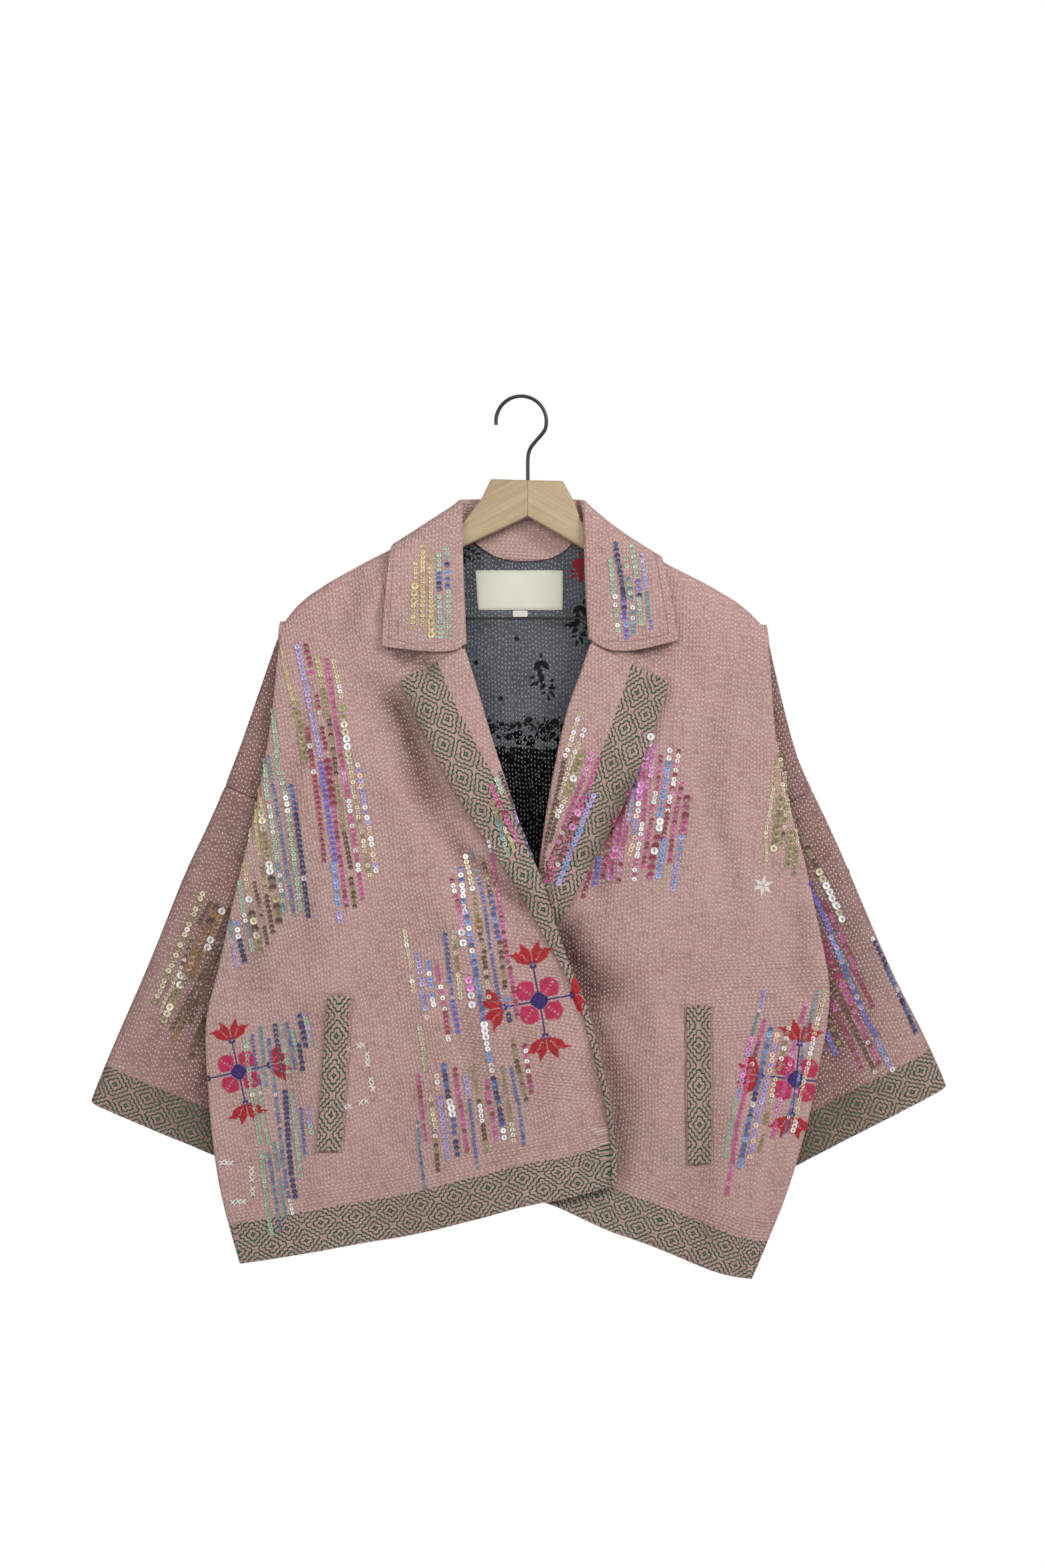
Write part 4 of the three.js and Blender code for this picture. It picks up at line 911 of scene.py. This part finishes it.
SMALL, LARGE = sequin_form(0.15), sequin_form(0.07)
CUP_FACES = sequin_faces()
THREAD_ROSE = (0.34, 0.20, 0.18)
luck = random.Random(11)
for group, strings in STRINGS.items():
    sequins = Sewing()
    for entry in strings.split(","):
        x0, z0, x1, z1, code, across = in_mm(entry)
        length = math.hypot(x1 - x0, z1 - z0)
        cup, step = (SMALL, across * 1.06) if across < 5 else (LARGE, across * 1.01)
        count = max(1, round(length / step) + 1)
        turn = math.atan2(x1 - x0, z0 - z1) if length > 2 else 0.0
        for i in range(count):
            share = i / max(count - 1, 1)
            aside = luck.uniform(-0.3, 0.3)
            spot = on_cloth(outside, x0 + (x1 - x0) * share + aside, z0 + (z1 - z0) * share)
            letter = code[luck.randrange(len(code))] if len(code) > 1 else code
            tilt = np.array((luck.gauss(0, 0.10), 0, luck.gauss(0, 0.10) - 0.08))
            colour = np.array(SEQUIN_COLOURS[letter]) * luck.uniform(0.78, 1.15)
            # A few sequins are painted near white: a painted glint.
            if luck.random() > 0.985:
                colour = colour * 0.35 + 0.62
            if spot is None:
                continue
            axes = frame_at(spot[1] + tilt, turn + luck.uniform(-0.1, 0.1))
            shades = np.tile(colour, (len(cup), 1))
            shades[:SIDES] *= HOLE_SHADE
            shades[-4:] = THREAD_ROSE
            corners = spot[0] + axes[2] * LIFT + (cup * across * HALF) @ np.array(axes)
            sequins.add(corners, CUP_FACES, np.clip(shades, 0.004, 0.98))
    sequins.finish("sequins_" + group, SEQUIN)


# Flowers in cross stitch: blue stems, magenta squares and red leaves, each cross two crossed threads.
THREAD = new_material("thread", Roughness=0.75, Specular_IOR_Level=0.3, Sheen_Weight=0.2)
shade = Value.node("Attribute", {"attribute_name": "shade"})
strand = noise(Value.node("TexCoord", {}, output=3), 2600.0, 2.0)
(strand * 0.35).tint(shade, (0.02, 0.01, 0.01)).feed("Base Color")
bump(strand, 0.0003, 0.6)
RED, MAGENTA, BLUE = (0.52, 0.012, 0.020), (0.62, 0.022, 0.115), (0.040, 0.020, 0.190)
WHITE, CREAM = (0.80, 0.80, 0.76), (0.74, 0.72, 0.66)
# Outlines in mm over one quarter of the flower, whose middle is at 0, 0 and whose stem runs up
SQUARE = [(3.0, 8.6), (3.2, 17.8), (11.5, 20.3), (17.2, 17.2), (20.3, 11.5), (17.8, 3.2), (8.6, 3.0)]
LEAF = [(1.2, 36), (0.6, 45), (3.5, 50), (9, 55.5), (8.4, 50), (10, 46.4), (14, 47), (21, 46), (16.5, 43),
        (14.8, 39.5), (11.5, 37), (7, 35), (3.6, 34.6)]
MIDDLE = [(-7.5, -3.2), (-7.5, 3.2), (-3.2, 7.5), (3.2, 7.5), (7.5, 3.2), (7.5, -3.2), (3.2, -7.5),
          (-3.2, -7.5)]
STEM = [(-1.1, 6), (-1.1, 30.8), (1.1, 30.8), (1.1, 6)]
BARE = [(7.5, 7.5), (10, 10), (12.5, 12.5), (15, 15), (4.2, 38), (5.8, 40.2), (7.4, 42.4), (9, 44.6)]
KNOT = 33.4  # mm from the middle to the open diamond at a stem's end
CELL = 1.2  # mm, one cross stitch


def within(outline, u, v):
    """Whether a place lies inside an outline."""
    inside = False
    for (u0, v0), (u1, v1) in zip(outline, outline[1:] + outline[:1]):
        if (v0 > v) != (v1 > v) and u < u0 + (v - v0) * (u1 - u0) / (v1 - v0):
            inside = not inside
    return inside


def stitch_colour(u, v):
    """The colour of the cross at a place in the upper quarter, or None where the cloth is bare."""
    if any(math.hypot(abs(u) - a, v - b) < 0.95 for a, b in BARE):
        return None
    beside, past = abs(u), abs(v - KNOT)
    diamond = abs(beside + past - 2.6) < 0.8
    points = 2.6 < beside + past < 6.4 and abs(beside - past) < 0.7
    if diamond or points or within(STEM, u, v):
        return BLUE
    if u >= 0 and within(SQUARE, u, v):
        return MAGENTA
    return RED if within(LEAF, beside, v) else None


flower = []
for column in range(-18, 19):
    for row in range(1, 47):
        u, v = column * CELL, row * CELL
        colour = stitch_colour(u, v)
        if colour:
            flower += [(u, v, quarter, colour) for quarter in range(4)]
for column in range(-6, 7):
    for row in range(-6, 7):
        if within(MIDDLE, column * CELL + 0.01, row * CELL + 0.01):
            flower.append((column * CELL, row * CELL, 0, BLUE))


def cross(work, spot, normal, turn, size, thick, colour):
    """Two threads laid over each other from corner to corner of one small square."""
    side, up, out = frame_at(normal, turn)
    for over, (along, beside) in enumerate(((side + up, side - up), (side - up, -side - up))):
        low = 0.16 + 0.16 * over
        stations = [spot + along * reach * size + out * (low + rise)
                    for reach, rise in ((-0.54, 0.02), (0.0, 0.34), (0.54, 0.02))]
        work.strand(stations, beside * thick * 0.36, colour)


# Name, middle x and z, degrees it leans to the left, scale, the cloth it is worked on, and how much of its
# length is left to the arm at the viewer's right
FLOWERS = [("near_edge_right", -261.0, -625.2, 12.5, 0.885, [front_right], 1.0),
           ("centre", 16.7, -559.2, 10.0, 1.0, [front_right, facing_right], 0.5),
           ("near_edge_left", 253.6, -631.8, -6.1, 1.0, [front_left], 1.0)]
for name, x, z, lean, scale, pieces, squeeze in FLOWERS:
    work = Sewing()
    cloth = tree_of(pieces)
    angle = math.radians(lean)
    for u, v, quarter, colour in flower:
        if quarter == 1 and v > 28:
            v = 28 + (v - 28) * squeeze
        a, b = u * scale, v * scale
        for _ in range(quarter):
            a, b = b, -a
        across = a * math.cos(angle) - b * math.sin(angle)
        spot = on_cloth(cloth, x + across, z + a * math.sin(angle) + b * math.cos(angle))
        if spot is None or spot[1][1] > -0.5:
            continue
        tone = np.array(colour) * luck.uniform(0.70, 1.30)
        cross(work, *spot, angle, CELL * scale, 0.50 * scale, tone)
    work.finish("flower_" + name, THREAD)

# White crosses mend the corners of both pocket bags, and a six-pointed star is worked in cream satin stitch.
MENDS = [(-160.0, -603.9), (-150.0, -601.4), (-146.3, -600.2), (-142.6, -608.8), (-142.0, -613.8),
         (-142.0, -618.1), (-138.9, -632.4), (-138.3, -637.4), (-137.0, -641.1), (-143.2, -652.2),
         (-148.2, -653.5), (-158.7, -656.6), (-163.1, -657.2), (-276.5, -709.3), (-272.2, -709.3),
         (-268.5, -709.3), (-249.2, -714.9), (-249.2, -719.8), (-248.6, -724.8), (-248.0, -733.5),
         (-248.0, -737.8), (-266.6, -745.9), (-261.6, -745.2), (-256.7, -745.2)]
STAR = (223.2, -453.2)
work = Sewing()
for x, z in MENDS:
    spot = on_cloth(outside, x, z)
    if spot:
        cross(work, *spot, luck.uniform(-0.15, 0.15), 4.0, 1.1, WHITE)
for point in range(6):
    angle = math.tau * (point + 0.15) / 6
    along = np.array((math.sin(angle), math.cos(angle)))
    beside = np.array((along[1], -along[0]))
    rim = [along * 0.6, along * 4.2 + beside * 1.9, along * 10.4, along * 4.2 - beside * 1.9]
    petal = []
    for (a, b), rise in zip(rim + [along * 4.6], (0.15, 0.15, 0.15, 0.15, 0.75)):
        place, normal = on_cloth(outside, STAR[0] + a, STAR[1] + b)
        petal.append(place + normal * rise)
    work.add(petal, [(k, (k + 1) % 4, 4) for k in range(4)], CREAM)
work.finish("mends_and_star", THREAD)


# Seams are topstitched by machine in a darker rose, and the label in cream.
SEAM_ROSE, SEAM_CREAM = (0.16, 0.082, 0.078), (0.50, 0.46, 0.36)
TOPSTITCHING = [
    (SEAM_ROSE, [(-160.0, -603.9), (-142.6, -599.5), (-140.1, -628.1), (-135.2, -651.6), (-158.7, -656.6)]),
    (SEAM_ROSE, [(-267.8, -709.9), (-249.2, -707.4), (-246.8, -747.1), (-270.9, -746.5)]),
    (SEAM_ROSE, [(-117.8, -142.0), (-119.4, -180), (-122.1, -225.1), (-98, -230.5), (-70.7, -228.2)]),
    (SEAM_ROSE, [(121.5, -135.9), (129.6, -180), (136.0, -221.5), (100, -228), (74, -227.3)]),
    (SEAM_ROSE, [(-50.8, -148.2), (-25, -149.2), (5.0, -149.6), (30, -149.0), (58.3, -147.3)]),
    (SEAM_ROSE, [(-180.3, -552.6), (-155.2, -552.6)]),
    (SEAM_ROSE, [(-190.6, -699.4), (-164.2, -699.4)]),
    (SEAM_ROSE, [(-154.9, -554), (-159.4, -626), (-163.9, -698)]),
    (SEAM_ROSE, [(176.3, -562), (177.0, -637), (177.7, -710)]),
    (SEAM_ROSE, [(150.6, -562), (151.2, -637), (151.8, -711.5)]),
    (SEAM_ROSE, [(151.8, -711.5), (177.7, -711.5)]),
    (SEAM_CREAM, [(-41.8, -161), (37.8, -161), (37.6, -195), (-39.4, -195), (-41.8, -161)]),
]
outside = tree_of(cloths + [tapes["label"]])
work = Sewing()
for colour, line in TOPSTITCHING:
    for (xa, za), (xb, zb) in zip(line[:-1], line[1:]):
        length = math.hypot(xb - xa, zb - za)
        count = max(1, round(length / 2.5))
        turn = math.atan2(zb - za, xb - xa)
        for i in range(count):
            share = (i + 0.5) / count
            spot = on_cloth(outside, xa + (xb - xa) * share, za + (zb - za) * share)
            if spot is None:
                continue
            side, up, out = frame_at(spot[1], turn)
            low = spot[0] + out * 0.1
            work.strand([low - side * 0.85, low + out * 0.22, low + side * 0.85], -up * 0.22, colour)
work.finish("topstitching", THREAD)


# The slate face inside is block printed with black sprigs and dots, and a red bloom beside the label.
PRINT = new_material("block_print", Roughness=0.85, Specular_IOR_Level=0.2)
shade = Value.node("Attribute", {"attribute_name": "shade"})
dry = noise(Value.node("TexCoord", {}, output=3), 700.0, 2.0)
(dry * 0.25).tint(shade, (0.05, 0.05, 0.055)).feed("Base Color")
bump(dry, 0.0003, 0.5)
PRINT_BLACK, PRINT_RED = (0.002, 0.002, 0.002), (0.27, 0.012, 0.016)
# Each leaf of a sprig: place beside and above its foot, direction in degrees, length and width in mm
SPRIG = [(0, 17, 235, 13, 7.5), (0, 17, -50, 13, 7.0), (0, 19, 90, 6, 3.0), (-1, 14, 250, 8, 3.5),
         (0, 9, 250, 9, 5.0), (1, 4, 265, 12, 6.0), (4, -6, 235, 9, 5.0), (-6, 0, 185, 6, 3.2),
         (-5, -5, 215, 8, 3.2), (-3, -3, 250, 7, 3.2), (9, -4, 20, 5, 3.6), (12, -6, 250, 6, 3.0),
         (7, -11, 0, 9, 4.0), (8, -14, -35, 7, 3.6), (5, -15, 200, 6, 3.0), (7, -18, -80, 7, 3.6),
         (11, -16, -60, 6, 3.2), (3, -12, 160, 5, 2.6)]
# Each sprig: x and z, its turn in degrees, and its size
SPRIGS = [(18.6, -259.2, 0, 0.92), (52.0, -207.0, -20, 0.9), (-55.0, -145.0, 60, 0.7), (-26, -305, 60, 0.5),
          (-8, -306, -70, 0.5), (10, -304, 40, 0.5), (28, -306, -40, 0.55)]
DOTS = [(-4.3, -223.2), (-42.2, -245.5), (-19.2, -279.0), (48.4, -209.6)]
work = Sewing()


def printed(x, z, angle, length, width, colour):
    """One pointed leaf printed on the inside of the back, unless it lies behind the label."""
    if abs(x + 2) < 50 and -206 < z < -154:
        return
    spots = []
    for a, b in ((0, 0), (0.25, -0.42), (0.6, -0.40), (1, 0), (0.6, 0.40), (0.25, 0.42)):
        a, b = a * length, b * width
        across = a * math.cos(angle) - b * math.sin(angle)
        spots.append(on_cloth(inside_back, x + across, z + a * math.sin(angle) + b * math.cos(angle)))
    if all(spots):
        work.add([place + normal * 0.22 for place, normal in spots], [range(6)], colour)


for x, z, turn, size in SPRIGS:
    turn = math.radians(turn)
    for a, b, angle, length, width in SPRIG:
        leaf_x = x + size * (a * math.cos(turn) - b * math.sin(turn))
        leaf_z = z + size * (a * math.sin(turn) + b * math.cos(turn))
        printed(leaf_x, leaf_z, turn + math.radians(angle), size * length, size * width, PRINT_BLACK)
for x, z in DOTS:
    for angle in (0, 1.047, 2.094):
        printed(x - 2.4 * math.cos(angle), z - 2.4 * math.sin(angle), angle, 4.8, 4.4, (0.003, 0.003, 0.003))
for a, b, angle, length, width in SPRIG[:9]:
    leaf_x, leaf_z = 55 + a * 0.8, -160 + b * 0.7
    printed(leaf_x, leaf_z, math.radians(angle), length * 0.9, width * 1.1, PRINT_RED)
work.finish("printed_sprigs", PRINT)
